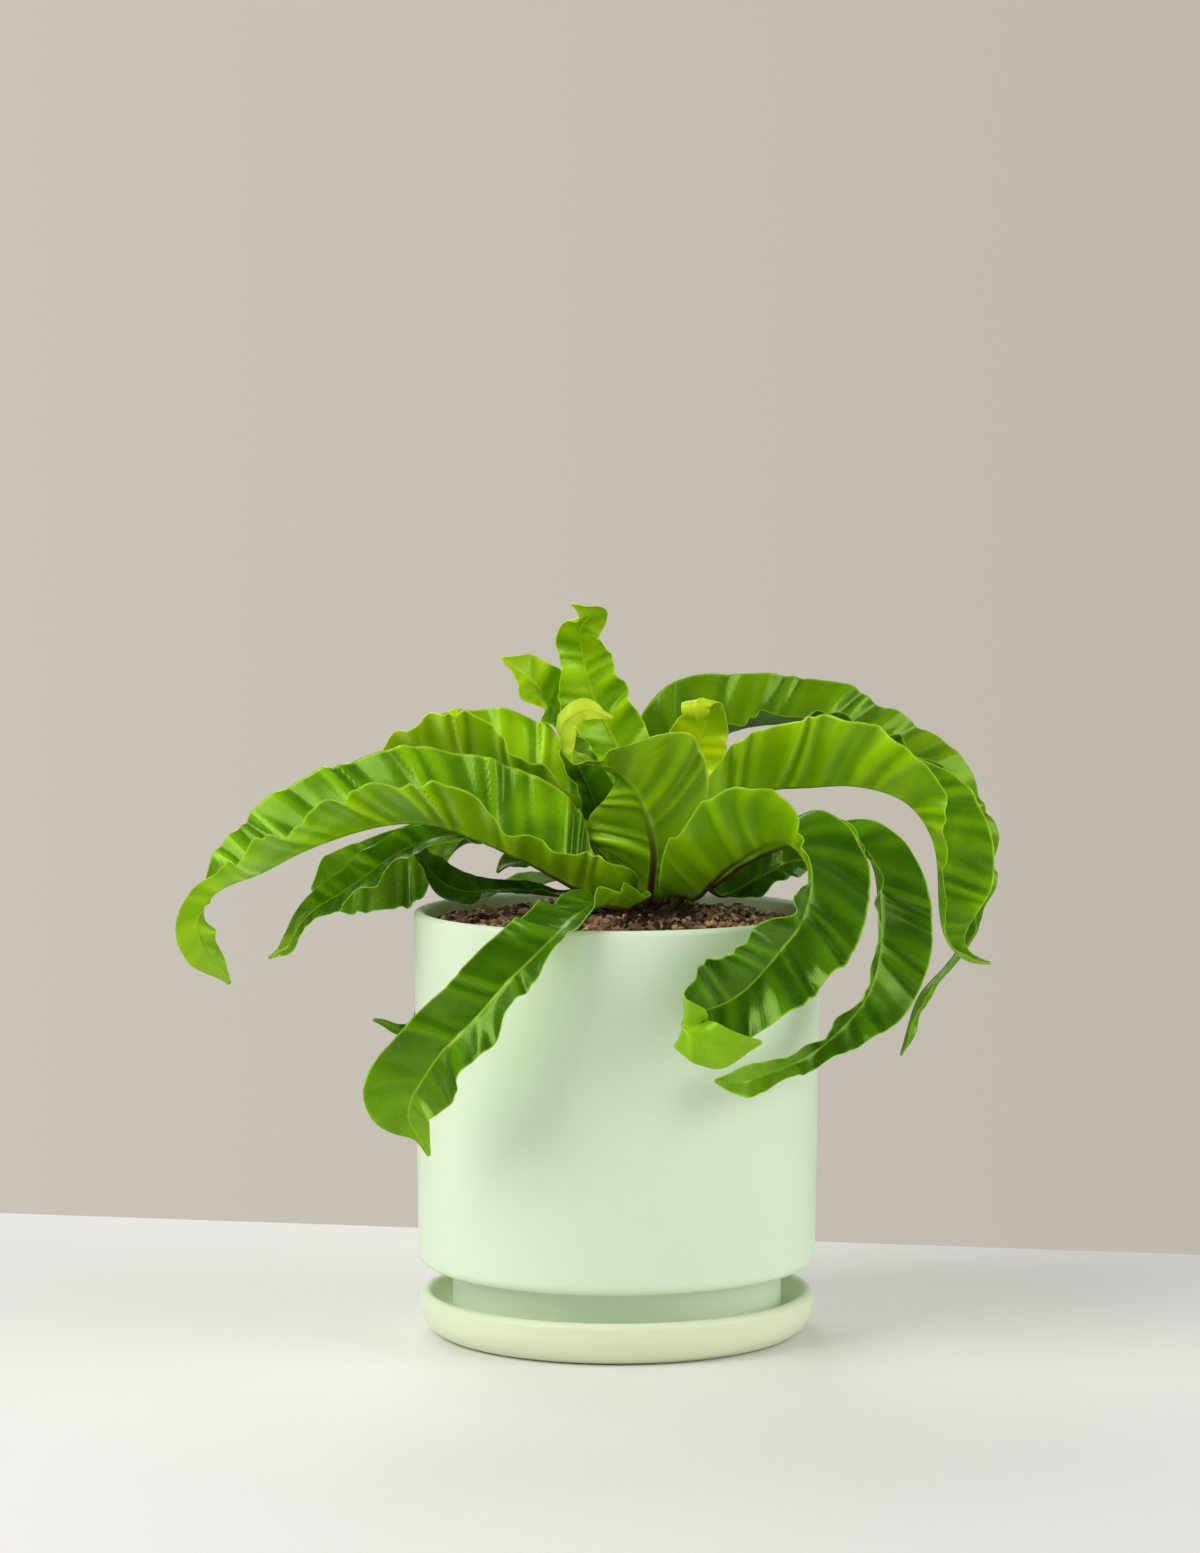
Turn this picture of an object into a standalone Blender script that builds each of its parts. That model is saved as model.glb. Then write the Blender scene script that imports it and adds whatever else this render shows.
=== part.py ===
"""A curly bird's-nest fern in a pale ceramic pot, standing in its saucer.

Units are metres and +Z is up. The origin is the centre of the saucer's flat underside. +X is
the way that the fern spreads furthest, and its front faces -Y.
"""

import math
import random

import bmesh
import bpy
import numpy as np

MM = 0.001

# Saucer
SAUCER_HEIGHT = 19.0 * MM
SAUCER_WIDEST_HEIGHT = 13.0 * MM
SAUCER_FLOOR = 9.0 * MM
SAUCER_CHANNEL = 5.5 * MM
SAUCER_SIDE = 8.9 * MM
SAUCER_UNDERCUT = 11.4 * MM
SAUCER_LIP_WIDTH = 5.8 * MM

# Pot
POT_RADIUS = 90.0 * MM
POT_HEIGHT = 178.7 * MM
POT_DRAFT = 1.7 * MM
POT_WALL = 5.0 * MM
POT_FLOOR = 7.0 * MM
POT_CORNER = 5.0 * MM
FOOT_INSET = 15.3 * MM
FOOT_WALL = 7.0 * MM
FOOT_HEIGHT = 21.7 * MM
DRAIN_RADIUS = 9.0 * MM

# Soil and crown
SOIL_BELOW_RIM = 7.0 * MM
SOIL_MOUND = 3.2 * MM
CROWN_RADIUS = 22.0 * MM
CROWN_HEIGHT = 3.0 * MM
CROWN_PLACE = (14.0 * MM, 6.0 * MM)

# Fronds
RIB_THICKNESS = 2.2 * MM
RIB_TIP_THICKNESS = 0.9 * MM
BLADE_THICKNESS = 0.8 * MM
FROND_LIFT = 1.2 * MM
SECTION_SPACING = 7.0 * MM
FEWEST_SECTIONS = 10
STRIPS_EACH_SIDE = 2
FINE_STEPS = 600

# How a blade cups up towards its margin, how far its waves lean towards the tip, how steeply they
# grow towards the margin, and how high they may be for the width of the blade there
CUP_ANGLE = math.radians(16)
RUFFLE_SLANT = 0.45
RUFFLE_GROWTH = 1.4
RUFFLE_LIMIT = 0.28

# How far one wave strays from the next in place and in height, and over how many waves
DRIFT = 0.9
DRIFT_WAVES = 2.7
SWELL = 0.25
SWELL_WAVES = 3.4

# How pieces meet, and how finely round ones are turned
GAP = 0.3 * MM
TURN_STEPS = 56
ARC_STEPS = 4
MERGE = 0.00001

# What follows from the sizes above
SAUCER_TOP_OF_FLOOR = SAUCER_FLOOR + GAP
RIM = SAUCER_TOP_OF_FLOOR + POT_HEIGHT
POT_UNDERSIDE = SAUCER_TOP_OF_FLOOR + FOOT_HEIGHT
FOOT_RADIUS = POT_RADIUS - POT_DRAFT - FOOT_INSET
SAUCER_FLOOR_RADIUS = FOOT_RADIUS + SAUCER_CHANNEL
SAUCER_RADIUS = SAUCER_FLOOR_RADIUS + SAUCER_SIDE
SAUCER_FOOT_RADIUS = SAUCER_RADIUS - SAUCER_UNDERCUT

# The plant below is sized for this pot, and it grows or shrinks with a pot of another radius
RADIUS_PLANTED_FOR = 90.0 * MM
GROWTH = POT_RADIUS / RADIUS_PLANTED_FOR

# Each row of a frond is a point on its midrib, from the pot's axis and up from just above the
# crown, then the width of the blade on the left and on the right of the midrib, all in
# millimetres, then the way that the upper face looks. "fold" is how far each half rises from flat
# at the base and at the tip, in degrees. "ripple" is how far the margin waves, and "wave" how
# long one wave is, both in millimetres.
FRONDS = {
    "frond_front_left": {
        "fold": (25, 8), "ripple": 3.4, "wave": 30,
        "rows": [
            (10, -12, 0, 2, 2, (2, 6, 3)),
            (7, -18, 5, 4, 4, (0, 4, 8)),
            (5, -34, 4, 12, 9, (0, 2, 9)),
            (-5, -55, 7, 13, 15, (-2, 0, 9)),
            (-15, -78, 6, 11, 17, (-4, -3, 8)),
            (-24, -93, 0, 10, 18, (-4, -6, 6)),
            (-35, -103, -10, 10, 18, (-4, -8, 4)),
            (-48, -108, -22, 11, 18, (-3, -9, 3)),
            (-61, -108, -37, 15, 19, (-3, -9, 3)),
            (-73, -106, -49, 20, 19, (-3, -9, 3)),
            (-82, -103, -62, 17, 21, (-3, -9, 2)),
            (-88, -100, -74, 13, 22, (-2, -9, 1)),
            (-88, -98, -80, 10, 11, (-1, -9, 0)),
            (-85, -96, -86, 6, 2, (0, -9, 0)),
            (-80, -92, -96, 0.8, 0.8, (0, -9, 0)),
        ],
    },
    "frond_left_long": {
        "fold": (52, 20), "ripple": 3.6, "wave": 27,
        "rows": [
            (7, -5, 0, 2, 2, (6, 0, 3)),
            (3, -8, 5, 5, 4, (4, 0, 8)),
            (0, -13, 6, 17, 6, (1, -1, 9)),
            (-12, -16, 8, 26, 14, (0, -1, 9)),
            (-25, -18, 14, 22, 32, (0, -2, 9)),
            (-41, -20, 23, 16, 38, (0, -2, 9)),
            (-58, -21, 31, 20, 39, (0, -2, 9)),
            (-80, -22, 39, 35, 37, (0, -2, 9)),
            (-102, -23, 39, 39, 37, (0, -2, 9)),
            (-121, -24, 34, 38, 35, (0, -2, 9)),
            (-141, -26, 26, 36, 33, (0, -2, 9)),
            (-159, -28, 17, 25, 29, (-1, -1, 9)),
            (-172, -30, 12, 11, 20, (-3, 1, 8)),
            (-179, -33, 6, 8, 8, (-7, 6, 3)),
            (-183, -34, -6, 10, 10, (-5, 8, 0)),
            (-178, -34, -18, 9, 8, (-2, 9, 1)),
            (-169, -33, -30, 0.8, 0.8, (-2, 9, 1)),
        ],
    },
    "frond_left_low": {
        "fold": (20, 12), "ripple": 2.4, "wave": 24,
        "rows": [
            (0, -5, 0, 2, 2, (5, 2, 4)),
            (-4, -6, 5, 3, 3, (3, 0, 8)),
            (-11, -4, 9, 4, 4, (0, 0, 9)),
            (-27, -2, 19, 7, 5, (0, -2, 9)),
            (-47, -1, 28, 9, 8, (0, -3, 9)),
            (-69, -1, 32, 9, 9, (-2, -5, 8)),
            (-89, -4, 28, 10, 10, (-3, -5, 8)),
            (-105, -7, 19, 12, 11, (-4, -6, 6)),
            (-120, -8, 8, 11, 10, (-4, -6, 6)),
            (-133, -8, 0, 8, 7, (-3, -7, 5)),
            (-142, -8, -10, 4, 4, (-3, -7, 3)),
            (-146, -7, -17, 5, 4, (-2, -7, 5)),
            (-154, -6, -22, 0.8, 0.8, (-2, -6, 6)),
        ],
    },
    "frond_left_back": {
        "fold": (22, 10), "ripple": 2.6, "wave": 26,
        "rows": [
            (2, 10, 0, 2, 2, (6, 0, 3)),
            (-3, 12, 5, 3, 2, (4, 0, 8)),
            (-11, 21, 14, 5, 4, (0, 0, 9)),
            (-37, 31, 23, 8, 7, (0, -2, 9)),
            (-62, 37, 26, 11, 10, (0, -3, 9)),
            (-83, 39, 24, 20, 12, (-2, -7, 5)),
            (-100, 35, 18, 27, 13, (-3, -9, 3)),
            (-116, 32, 11, 26, 15, (-3, -9, 3)),
            (-129, 30, 6, 14, 14, (-3, -9, 3)),
            (-137, 29, 4, 2, 2, (-3, -9, 3)),
        ],
    },
    "frond_left_rim": {
        "fold": (18, 12), "ripple": 1.8, "wave": 24,
        "rows": [
            (2, 2, 0, 2, 2, (6, 0, 3)),
            (-2, 1, 4, 3, 3, (3, 0, 8)),
            (-16, 3, 5, 4, 4, (0, -1, 9)),
            (-34, 5, 6, 5, 5, (0, -2, 9)),
            (-52, 4, 7, 7, 7, (1, -4, 8)),
            (-68, 1, 7, 10, 9, (3, -6, 6)),
            (-79, 1, 12, 12, 10, (6, -6, 4)),
            (-86, 4, 21, 9, 10, (8, -5, 2)),
            (-88, 8, 29, 1, 1, (8, -5, 2)),
        ],
    },
    "frond_left_short": {
        "fold": (18, 12), "ripple": 1.8, "wave": 20,
        "rows": [
            (-4, 6, 0, 2, 2, (6, 0, 3)),
            (-7, 8, 6, 3, 3, (3, 0, 8)),
            (-13, 11, 8, 4, 3, (0, -1, 9)),
            (-27, 13, 15, 6, 7, (0, -2, 9)),
            (-40, 12, 19, 9, 9, (-2, -4, 8)),
            (-48, 9, 18, 7, 7, (-6, -5, 5)),
            (-53, 6, 15, 1, 1, (-7, -5, 3)),
        ],
    },
    "frond_upper_left": {
        "fold": (40, 45), "ripple": 3.2, "wave": 25,
        "rows": [
            (7, 5, 0, 2, 2, (7, 0, 2)),
            (2, 10, 10, 4, 4, (6, 0, 5)),
            (-9, 19, 25, 7, 7, (4, 0, 7)),
            (-25, 24, 42, 17, 13, (2, -1, 8)),
            (-43, 27, 53, 21, 31, (0, -2, 9)),
            (-61, 28, 61, 30, 30, (0, -2, 9)),
            (-77, 26, 66, 34, 22, (-1, -2, 9)),
            (-90, 23, 68, 24, 12, (-2, -2, 9)),
            (-99, 20, 68, 11, 6, (-3, -2, 8)),
            (-106, 17, 66, 0.8, 0.8, (-3, -2, 8)),
        ],
    },
    "frond_top_left": {
        "fold": (35, 15), "ripple": 2.8, "wave": 24,
        "rows": [
            (8, 10, 0, 2, 2, (5, -6, 2)),
            (7, 22, 17, 4, 4, (6, -4, 3)),
            (-4, 38, 37, 16, 8, (7, -4, 3)),
            (-14, 46, 56, 23, 12, (7, -5, 3)),
            (-23, 48, 72, 22, 15, (7, -5, 3)),
            (-29, 46, 86, 11, 14, (5, -7, 3)),
            (-35, 41, 95, 14, 13, (2, -8, 4)),
            (-44, 36, 103, 9, 9, (0, -8, 5)),
            (-52, 31, 109, 0.8, 0.8, (0, -8, 5)),
        ],
    },
    "frond_inner_left": {
        "fold": (40, 35), "ripple": 2.0, "wave": 26,
        "rows": [
            (8, 2, 0, 2, 2, (4, -6, 2)),
            (8, 6, 12, 4, 4, (4, -6, 3)),
            (0, 13, 26, 8, 8, (4, -7, 3)),
            (-8, 17, 39, 13, 11, (3, -8, 2)),
            (-13, 16, 52, 14, 13, (3, -8, 2)),
            (-18, 15, 63, 12, 11, (2, -8, 3)),
            (-21, 15, 72, 8, 7, (1, -8, 4)),
            (-24, 13, 79, 0.8, 0.8, (1, -8, 4)),
        ],
    },
    "frond_top": {
        "fold": (22, 12), "ripple": 2.8, "wave": 24,
        "rows": [
            (15, 13, 0, 2, 2, (0, -8, 2)),
            (14, 22, 19, 4, 3, (0, -8, 2)),
            (11, 34, 39, 10, 9, (0, -8, 3)),
            (5, 40, 59, 15, 15, (0, -8, 3)),
            (-4, 44, 77, 17, 16, (0, -8, 3)),
            (-10, 44, 90, 17, 16, (0, -8, 3)),
            (-14, 42, 103, 15, 14, (0, -8, 3)),
            (-16, 38, 114, 11, 11, (0, -8, 2)),
            (-16, 33, 123, 11, 10, (1, -8, 0)),
            (-12, 26, 129, 9, 8, (3, -7, -5)),
            (-14, 20, 132, 5, 5, (2, -5, -7)),
            (-20, 16, 134, 0.8, 0.8, (0, -3, -8)),
        ],
    },
    "frond_center": {
        "fold": (18, 16), "ripple": 2.0, "wave": 24,
        "rows": [
            (15, -1, 0, 2, 2, (0, 8, 0)),
            (15, -5, 10, 7, 9, (0, 8, 1)),
            (16, -9, 20, 17, 24, (0, 8, 1)),
            (15, -12, 33, 25, 35, (0, 8, 2)),
            (11, -14, 46, 35, 30, (0, 8, 2)),
            (5, -16, 57, 37, 13, (1, 8, 3)),
            (-2, -16, 63, 9, 7, (2, 6, 5)),
            (-9, -17, 65, 10, 5, (1, 1, 8)),
            (-16, -20, 66, 7, 5, (2, -3, 8)),
            (-22, -25, 69, 7, 6, (8, -2, 3)),
            (-24, -30, 76, 7, 6, (7, 5, 0)),
            (-24, -33, 83, 7, 6, (4, 8, -1)),
            (-19, -33, 88, 6, 6, (1, 8, -1)),
            (-13, -31, 90, 5, 5, (-1, 8, -2)),
            (-7, -29, 88, 3, 3, (-1, 8, -2)),
            (-2, -28, 86, 0.8, 0.8, (-1, 8, -2)),
        ],
    },
    "frond_scroll": {
        "fold": (12, 6), "ripple": 0.8, "wave": 22,
        "rows": [
            (20, 10, 0, 2, 2, (-3, -7, 2)),
            (22, 13, 17, 3, 4, (-2, -8, 2)),
            (28, 20, 36, 8, 9, (-1, -8, 2)),
            (32, 27, 53, 14, 15, (-1, -8, 2)),
            (36, 26, 67, 15, 17, (-1, -8, 2)),
            (39, 21, 79, 14, 12, (-1, -8, 1)),
            (40, 16, 88, 9, 8, (0, -8, -3)),
            (38, 8, 92, 8, 7, (0, -3, -8)),
            (35, 2, 90, 7, 6, (0, 6, -5)),
            (35, 3, 85, 6, 6, (0, 8, 3)),
            (35, 8, 83, 5, 5, (0, 2, 8)),
            (36, 12, 86, 5, 5, (0, -6, 4)),
        ],
    },
    "frond_back_right": {
        "fold": (35, 25), "ripple": 3.4, "wave": 28,
        "rows": [
            (21, 17, 0, 2, 2, (-5, -5, 3)),
            (24, 30, 15, 5, 4, (-5, -4, 4)),
            (27, 44, 35, 14, 7, (-5, -4, 4)),
            (34, 52, 56, 32, 11, (-4, -4, 6)),
            (45, 57, 71, 35, 16, (-2, -4, 8)),
            (61, 60, 77, 25, 20, (0, -4, 9)),
            (81, 60, 78, 24, 21, (0, -4, 9)),
            (102, 62, 74, 24, 21, (1, -3, 9)),
            (122, 62, 65, 23, 19, (3, -2, 8)),
            (141, 60, 54, 22, 16, (5, -2, 7)),
            (154, 58, 37, 21, 15, (8, -2, 4)),
            (161, 56, 16, 19, 13, (9, -2, 1)),
            (162, 53, -4, 10, 9, (9, -2, 0)),
            (157, 50, -22, 4, 4, (8, -2, -4)),
            (147, 48, -35, 4, 4, (7, -3, -5)),
            (138, 46, -45, 6, 6, (8, -3, -4)),
            (133, 44, -58, 6, 5, (8, -3, -3)),
            (129, 42, -72, 0.8, 0.8, (8, -3, -2)),
        ],
    },
    "frond_right_upper": {
        "fold": (40, 45), "ripple": 3.4, "wave": 26,
        "rows": [
            (21, 4, 0, 2, 2, (-7, 0, 2)),
            (28, 5, 14, 5, 5, (-6, 0, 5)),
            (34, 8, 26, 9, 9, (-5, 0, 6)),
            (43, 11, 40, 9, 15, (-4, 1, 7)),
            (56, 13, 48, 12, 25, (-2, 2, 8)),
            (70, 14, 52, 18, 32, (0, 2, 9)),
            (86, 13, 53, 24, 36, (0, 2, 9)),
            (101, 11, 54, 25, 35, (1, 2, 9)),
            (116, 8, 52, 26, 30, (3, 1, 8)),
            (128, 6, 47, 27, 25, (5, 0, 7)),
            (137, 4, 37, 27, 17, (8, -3, 4)),
            (142, 3, 23, 26, 9, (8, -5, 1)),
            (143, 2, 8, 24, 6, (8, -6, 0)),
            (144, 1, -6, 16, 5, (8, -6, 0)),
            (148, 0, -17, 7, 4, (6, -6, 3)),
            (155, -3, -23, 4, 4, (3, -5, 7)),
            (165, -8, -24, 0.8, 0.8, (0, -5, 8)),
        ],
    },
    "frond_front_right": {
        "fold": (42, 8), "ripple": 3.2, "wave": 26,
        "rows": [
            (25, -4, 0, 2, 2, (-4, 5, 3)),
            (29, -8, 5, 5, 5, (-4, 2, 6)),
            (35, -24, 7, 9, 19, (-4, 1, 7)),
            (42, -33, 15, 11, 27, (-3, 1, 8)),
            (51, -42, 24, 14, 33, (-2, 0, 9)),
            (61, -50, 31, 18, 36, (0, 0, 9)),
            (70, -57, 35, 23, 36, (3, -1, 8)),
            (78, -64, 31, 27, 29, (6, -3, 6)),
            (82, -71, 23, 28, 18, (7, -5, 3)),
            (81, -78, 13, 27, 11, (7, -7, 1)),
            (77, -86, 2, 26, 12, (5, -8, 1)),
            (69, -93, -8, 24, 16, (3, -9, 1)),
            (59, -99, -19, 22, 21, (2, -9, 1)),
            (46, -103, -29, 19, 22, (1, -9, 1)),
            (34, -107, -33, 14, 19, (0, -9, 0)),
            (27, -112, -37, 9, 13, (4, -4, -3)),
            (30, -117, -41, 9, 11, (4, 6, -4)),
            (40, -118, -44, 14, 8, (0, 9, 0)),
            (60, -118, -44, 0.8, 0.8, (0, 9, 0)),
        ],
    },
    "frond_right_droop": {
        "fold": (35, 25), "ripple": 3.0, "wave": 28,
        "rows": [
            (32, 4, 0, 2, 2, (-6, 0, 3)),
            (35, 4, 6, 4, 4, (-5, 0, 6)),
            (39, 0, 8, 7, 7, (-4, 0, 7)),
            (53, -6, 18, 9, 9, (-3, 0, 8)),
            (70, -11, 27, 11, 11, (-1, 0, 9)),
            (87, -16, 32, 12, 12, (1, 0, 9)),
            (100, -22, 32, 13, 12, (3, -1, 8)),
            (109, -28, 27, 17, 11, (6, -4, 5)),
            (113, -33, 18, 21, 10, (7, -6, 2)),
            (114, -38, 6, 23, 10, (7, -7, 0)),
            (114, -43, -7, 24, 11, (7, -7, 0)),
            (112, -48, -21, 22, 10, (7, -7, 0)),
            (106, -54, -35, 18, 8, (6, -8, 0)),
            (95, -62, -47, 10, 6, (4, -9, 0)),
            (82, -71, -56, 6, 5, (2, -9, 0)),
            (69, -81, -61, 7, 6, (1, -9, 2)),
            (55, -91, -64, 8, 7, (1, -9, 2)),
            (45, -97, -64, 5, 6, (1, -9, 2)),
            (41, -99, -63, 1, 1, (1, -9, 2)),
        ],
    },
    "frond_rear_right": {
        "fold": (35, 18), "ripple": 3.0, "wave": 28,
        "rows": [
            (19, 23, 0, 2, 2, (0, -7, 4)),
            (21, 37, 12, 5, 5, (-1, -6, 6)),
            (29, 61, 30, 10, 10, (-1, -4, 8)),
            (38, 89, 43, 15, 15, (0, 0, 9)),
            (46, 117, 42, 16, 16, (2, 4, 8)),
            (52, 139, 27, 14, 14, (2, 7, 5)),
            (55, 153, 4, 9, 9, (2, 8, 2)),
            (55, 160, -20, 1, 1, (2, 8, 1)),
        ],
    },
    "frond_rear": {
        "fold": (35, 18), "ripple": 3.0, "wave": 26,
        "rows": [
            (14, 19, 0, 2, 2, (0, -7, 4)),
            (12, 32, 18, 4, 4, (0, -6, 6)),
            (4, 57, 45, 8, 7, (0, -4, 8)),
            (1, 85, 60, 15, 15, (0, 0, 9)),
            (-6, 114, 57, 16, 16, (0, 4, 8)),
            (-12, 139, 40, 14, 14, (0, 7, 5)),
            (-15, 156, 12, 9, 9, (0, 8, 2)),
            (-15, 164, -16, 1, 1, (0, 8, 1)),
        ],
    },
    "frond_rear_left": {
        "fold": (32, 20), "ripple": 2.6, "wave": 26,
        "rows": [
            (6, 17, 0, 2, 2, (4, -5, 4)),
            (1, 32, 17, 4, 4, (3, -4, 6)),
            (-13, 57, 35, 9, 9, (2, -2, 8)),
            (-31, 86, 43, 13, 13, (0, 0, 9)),
            (-50, 108, 41, 13, 13, (-2, 2, 8)),
            (-66, 124, 33, 9, 9, (-4, 4, 7)),
            (-76, 134, 23, 1, 1, (-4, 5, 6)),
        ],
    },
    "frond_rear_left_long": {
        "fold": (30, 20), "ripple": 2.0, "wave": 24,
        "rows": [
            (-1, 16, 0, 2, 2, (6, -3, 4)),
            (-10, 28, 24, 3, 3, (4, -2, 7)),
            (-31, 47, 45, 8, 8, (1, 0, 9)),
            (-68, 64, 54, 10, 10, (0, 0, 9)),
            (-104, 76, 52, 10, 10, (-1, 0, 9)),
            (-130, 83, 44, 8, 8, (-3, 1, 8)),
            (-148, 87, 33, 1, 1, (-4, 1, 8)),
        ],
    },
    "frond_rear_right_long": {
        "fold": (32, 20), "ripple": 2.6, "wave": 25,
        "rows": [
            (26, 10, 0, 2, 2, (-6, -3, 4)),
            (38, 20, 20, 6, 6, (-5, -2, 6)),
            (62, 38, 44, 10, 10, (-2, -1, 8)),
            (90, 57, 57, 12, 12, (0, 0, 9)),
            (115, 70, 57, 12, 12, (2, 1, 8)),
            (134, 79, 47, 9, 9, (4, 1, 7)),
            (146, 84, 36, 1, 1, (6, 1, 6)),
        ],
    },
    "frond_rear_low_left": {
        "fold": (20, 12), "ripple": 3.0, "wave": 28,
        "rows": [
            (8, 23, 0, 2, 2, (0, -6, 4)),
            (5, 32, 5, 4, 4, (0, -2, 8)),
            (-5, 54, 7, 6, 6, (0, 0, 9)),
            (-19, 78, 6, 8, 8, (-1, 2, 9)),
            (-40, 96, -1, 10, 10, (-4, 6, 6)),
            (-60, 102, -17, 11, 11, (-5, 7, 3)),
            (-75, 100, -34, 6, 6, (-6, 7, 1)),
            (-87, 97, -50, 4, 4, (-6, 7, 1)),
            (-101, 92, -67, 3, 3, (-4, -7, 4)),
            (-107, 91, -64, 2, 2, (-2, -8, 4)),
            (-113, 90, -62, 0.8, 0.8, (-2, -8, 4)),
        ],
    },
    "frond_right_low": {
        "fold": (22, 14), "ripple": 2.6, "wave": 27,
        "rows": [
            (28, 17, 0, 2, 2, (-4, -4, 4)),
            (38, 23, 8, 4, 4, (-3, -2, 8)),
            (46, 26, 3, 9, 9, (-2, -4, 7)),
            (58, 27, 7, 14, 13, (-1, -6, 6)),
            (69, 28, 13, 15, 13, (0, -6, 6)),
            (81, 28, 18, 14, 14, (2, -5, 6)),
            (90, 29, 15, 13, 13, (6, -2, 6)),
            (95, 28, 4, 11, 11, (8, -2, 2)),
            (97, 27, -9, 8, 8, (9, -2, 0)),
            (96, 26, -21, 1, 1, (9, -2, -1)),
        ],
    },
}

COLORS = {
    "ceramic": (0.752, 0.842, 0.665),
    "saucer": (0.730, 0.800, 0.600),
    "soil": (0.030, 0.014, 0.008),
    "crown": (0.035, 0.018, 0.008),
    "young": (0.270, 0.430, 0.020),
    "grown": (0.095, 0.270, 0.012),
    "old": (0.040, 0.150, 0.012),
}
YOUNG_FRONDS = ("frond_scroll", "frond_right_upper", "frond_center")
ROUGHNESS = {"ceramic": 0.5, "saucer": 0.5, "soil": 0.9, "crown": 0.8, "frond": 0.3}
OLD_FRONDS = ("frond_back_right", "frond_left_rim", "frond_left_back", "frond_rear_low_left")


def clear_scene():
    for obj in list(bpy.data.objects):
        bpy.data.objects.remove(obj, do_unlink=True)


def make_collection(name):
    collection = bpy.data.collections.new(name)
    bpy.context.scene.collection.children.link(collection)
    return collection


def make_material(name, color, roughness):
    material = bpy.data.materials.new(name)
    material.use_nodes = True
    shader = material.node_tree.nodes["Principled BSDF"]
    shader.inputs["Base Color"].default_value = (*color, 1.0)
    shader.inputs["Roughness"].default_value = roughness
    shader.inputs["Metallic"].default_value = 0.0
    material.diffuse_color = (*color, 1.0)
    return material


# ---- Turned pieces ----------------------------------------------------------------------------


def corner(center, radius, start, end):
    """Points of an arc in the profile plane, from one angle to another in degrees."""
    angles = [math.radians(start + (end - start) * i / ARC_STEPS) for i in range(ARC_STEPS + 1)]
    return [(center[0] + radius * math.cos(a), center[1] + radius * math.sin(a)) for a in angles]


def turned(name, profile, closed, material, collection):
    """A profile of (radius, height) points, outer side top to bottom, turned about Z."""
    mesh = bpy.data.meshes.new(name)
    last = len(profile) - 1
    edges = [(i, i + 1) for i in range(last)]
    if closed:
        edges.append((last, 0))
    mesh.from_pydata([(r, 0.0, z) for r, z in profile], edges, [])
    obj = bpy.data.objects.new(name, mesh)
    collection.objects.link(obj)
    mesh.materials.append(material)
    screw = obj.modifiers.new("Turn", "SCREW")
    screw.axis = "Z"
    screw.steps = TURN_STEPS
    screw.render_steps = TURN_STEPS
    screw.use_merge_vertices = True
    screw.merge_threshold = MERGE
    screw.use_smooth_shade = True
    return obj


def wall_radius(height):
    """Outer radius of the pot's tapering wall at a height."""
    return POT_RADIUS - POT_DRAFT * (RIM - height) / (RIM - POT_UNDERSIDE)


def make_saucer(material, collection):
    lip = SAUCER_LIP_WIDTH / 2
    side = SAUCER_RADIUS - SAUCER_FOOT_RADIUS
    profile = [(0.0, SAUCER_FLOOR), (SAUCER_FLOOR_RADIUS - SAUCER_LIP_WIDTH, SAUCER_FLOOR)]
    profile.append((SAUCER_FLOOR_RADIUS, SAUCER_FLOOR + lip / 2))
    profile += corner((SAUCER_RADIUS - lip, SAUCER_HEIGHT - lip), lip, 180, 0)
    for step in range(ARC_STEPS + 1):
        angle = math.radians(90.0 * step / ARC_STEPS)
        radius = SAUCER_FOOT_RADIUS + side * math.cos(angle)
        profile.append((radius, SAUCER_WIDEST_HEIGHT * (1 - math.sin(angle))))
    profile.append((0.0, 0.0))
    return turned("saucer", profile, False, material, collection)


def make_pot(material, collection):
    """The wall, the base and the foot ring are one casting, with a drain hole in the base."""
    lip = POT_WALL / 2
    foot_inside = FOOT_RADIUS - FOOT_WALL
    floor = POT_UNDERSIDE + POT_FLOOR
    bottom_radius = wall_radius(POT_UNDERSIDE)
    profile = corner((POT_RADIUS - lip, RIM - lip), lip, 180, 0)
    profile += corner((bottom_radius - POT_CORNER, POT_UNDERSIDE + POT_CORNER), POT_CORNER, 0, -90)
    profile += [(FOOT_RADIUS, POT_UNDERSIDE), (FOOT_RADIUS, SAUCER_TOP_OF_FLOOR)]
    profile += [(foot_inside, SAUCER_TOP_OF_FLOOR), (foot_inside, POT_UNDERSIDE)]
    profile += [(DRAIN_RADIUS, POT_UNDERSIDE), (DRAIN_RADIUS, floor)]
    profile.append((wall_radius(floor) - POT_WALL, floor))
    return turned("pot", profile, True, material, collection)


def soil_height(radius):
    """Top of the soil, a low mound that is highest at the pot's axis."""
    share = radius / (POT_RADIUS - POT_WALL)
    return RIM - SOIL_BELOW_RIM + SOIL_MOUND * (1 - share * share)


def make_soil(material, collection):
    floor = POT_UNDERSIDE + POT_FLOOR + GAP
    edge = POT_WALL + 2 * GAP
    top_radius = wall_radius(RIM - SOIL_BELOW_RIM) - edge
    rings = [top_radius * i / ARC_STEPS for i in range(ARC_STEPS + 1)]
    profile = [(radius, soil_height(radius)) for radius in rings]
    profile += [(wall_radius(floor) - edge, floor), (0.0, floor)]
    return turned("soil", profile, False, material, collection)


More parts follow.
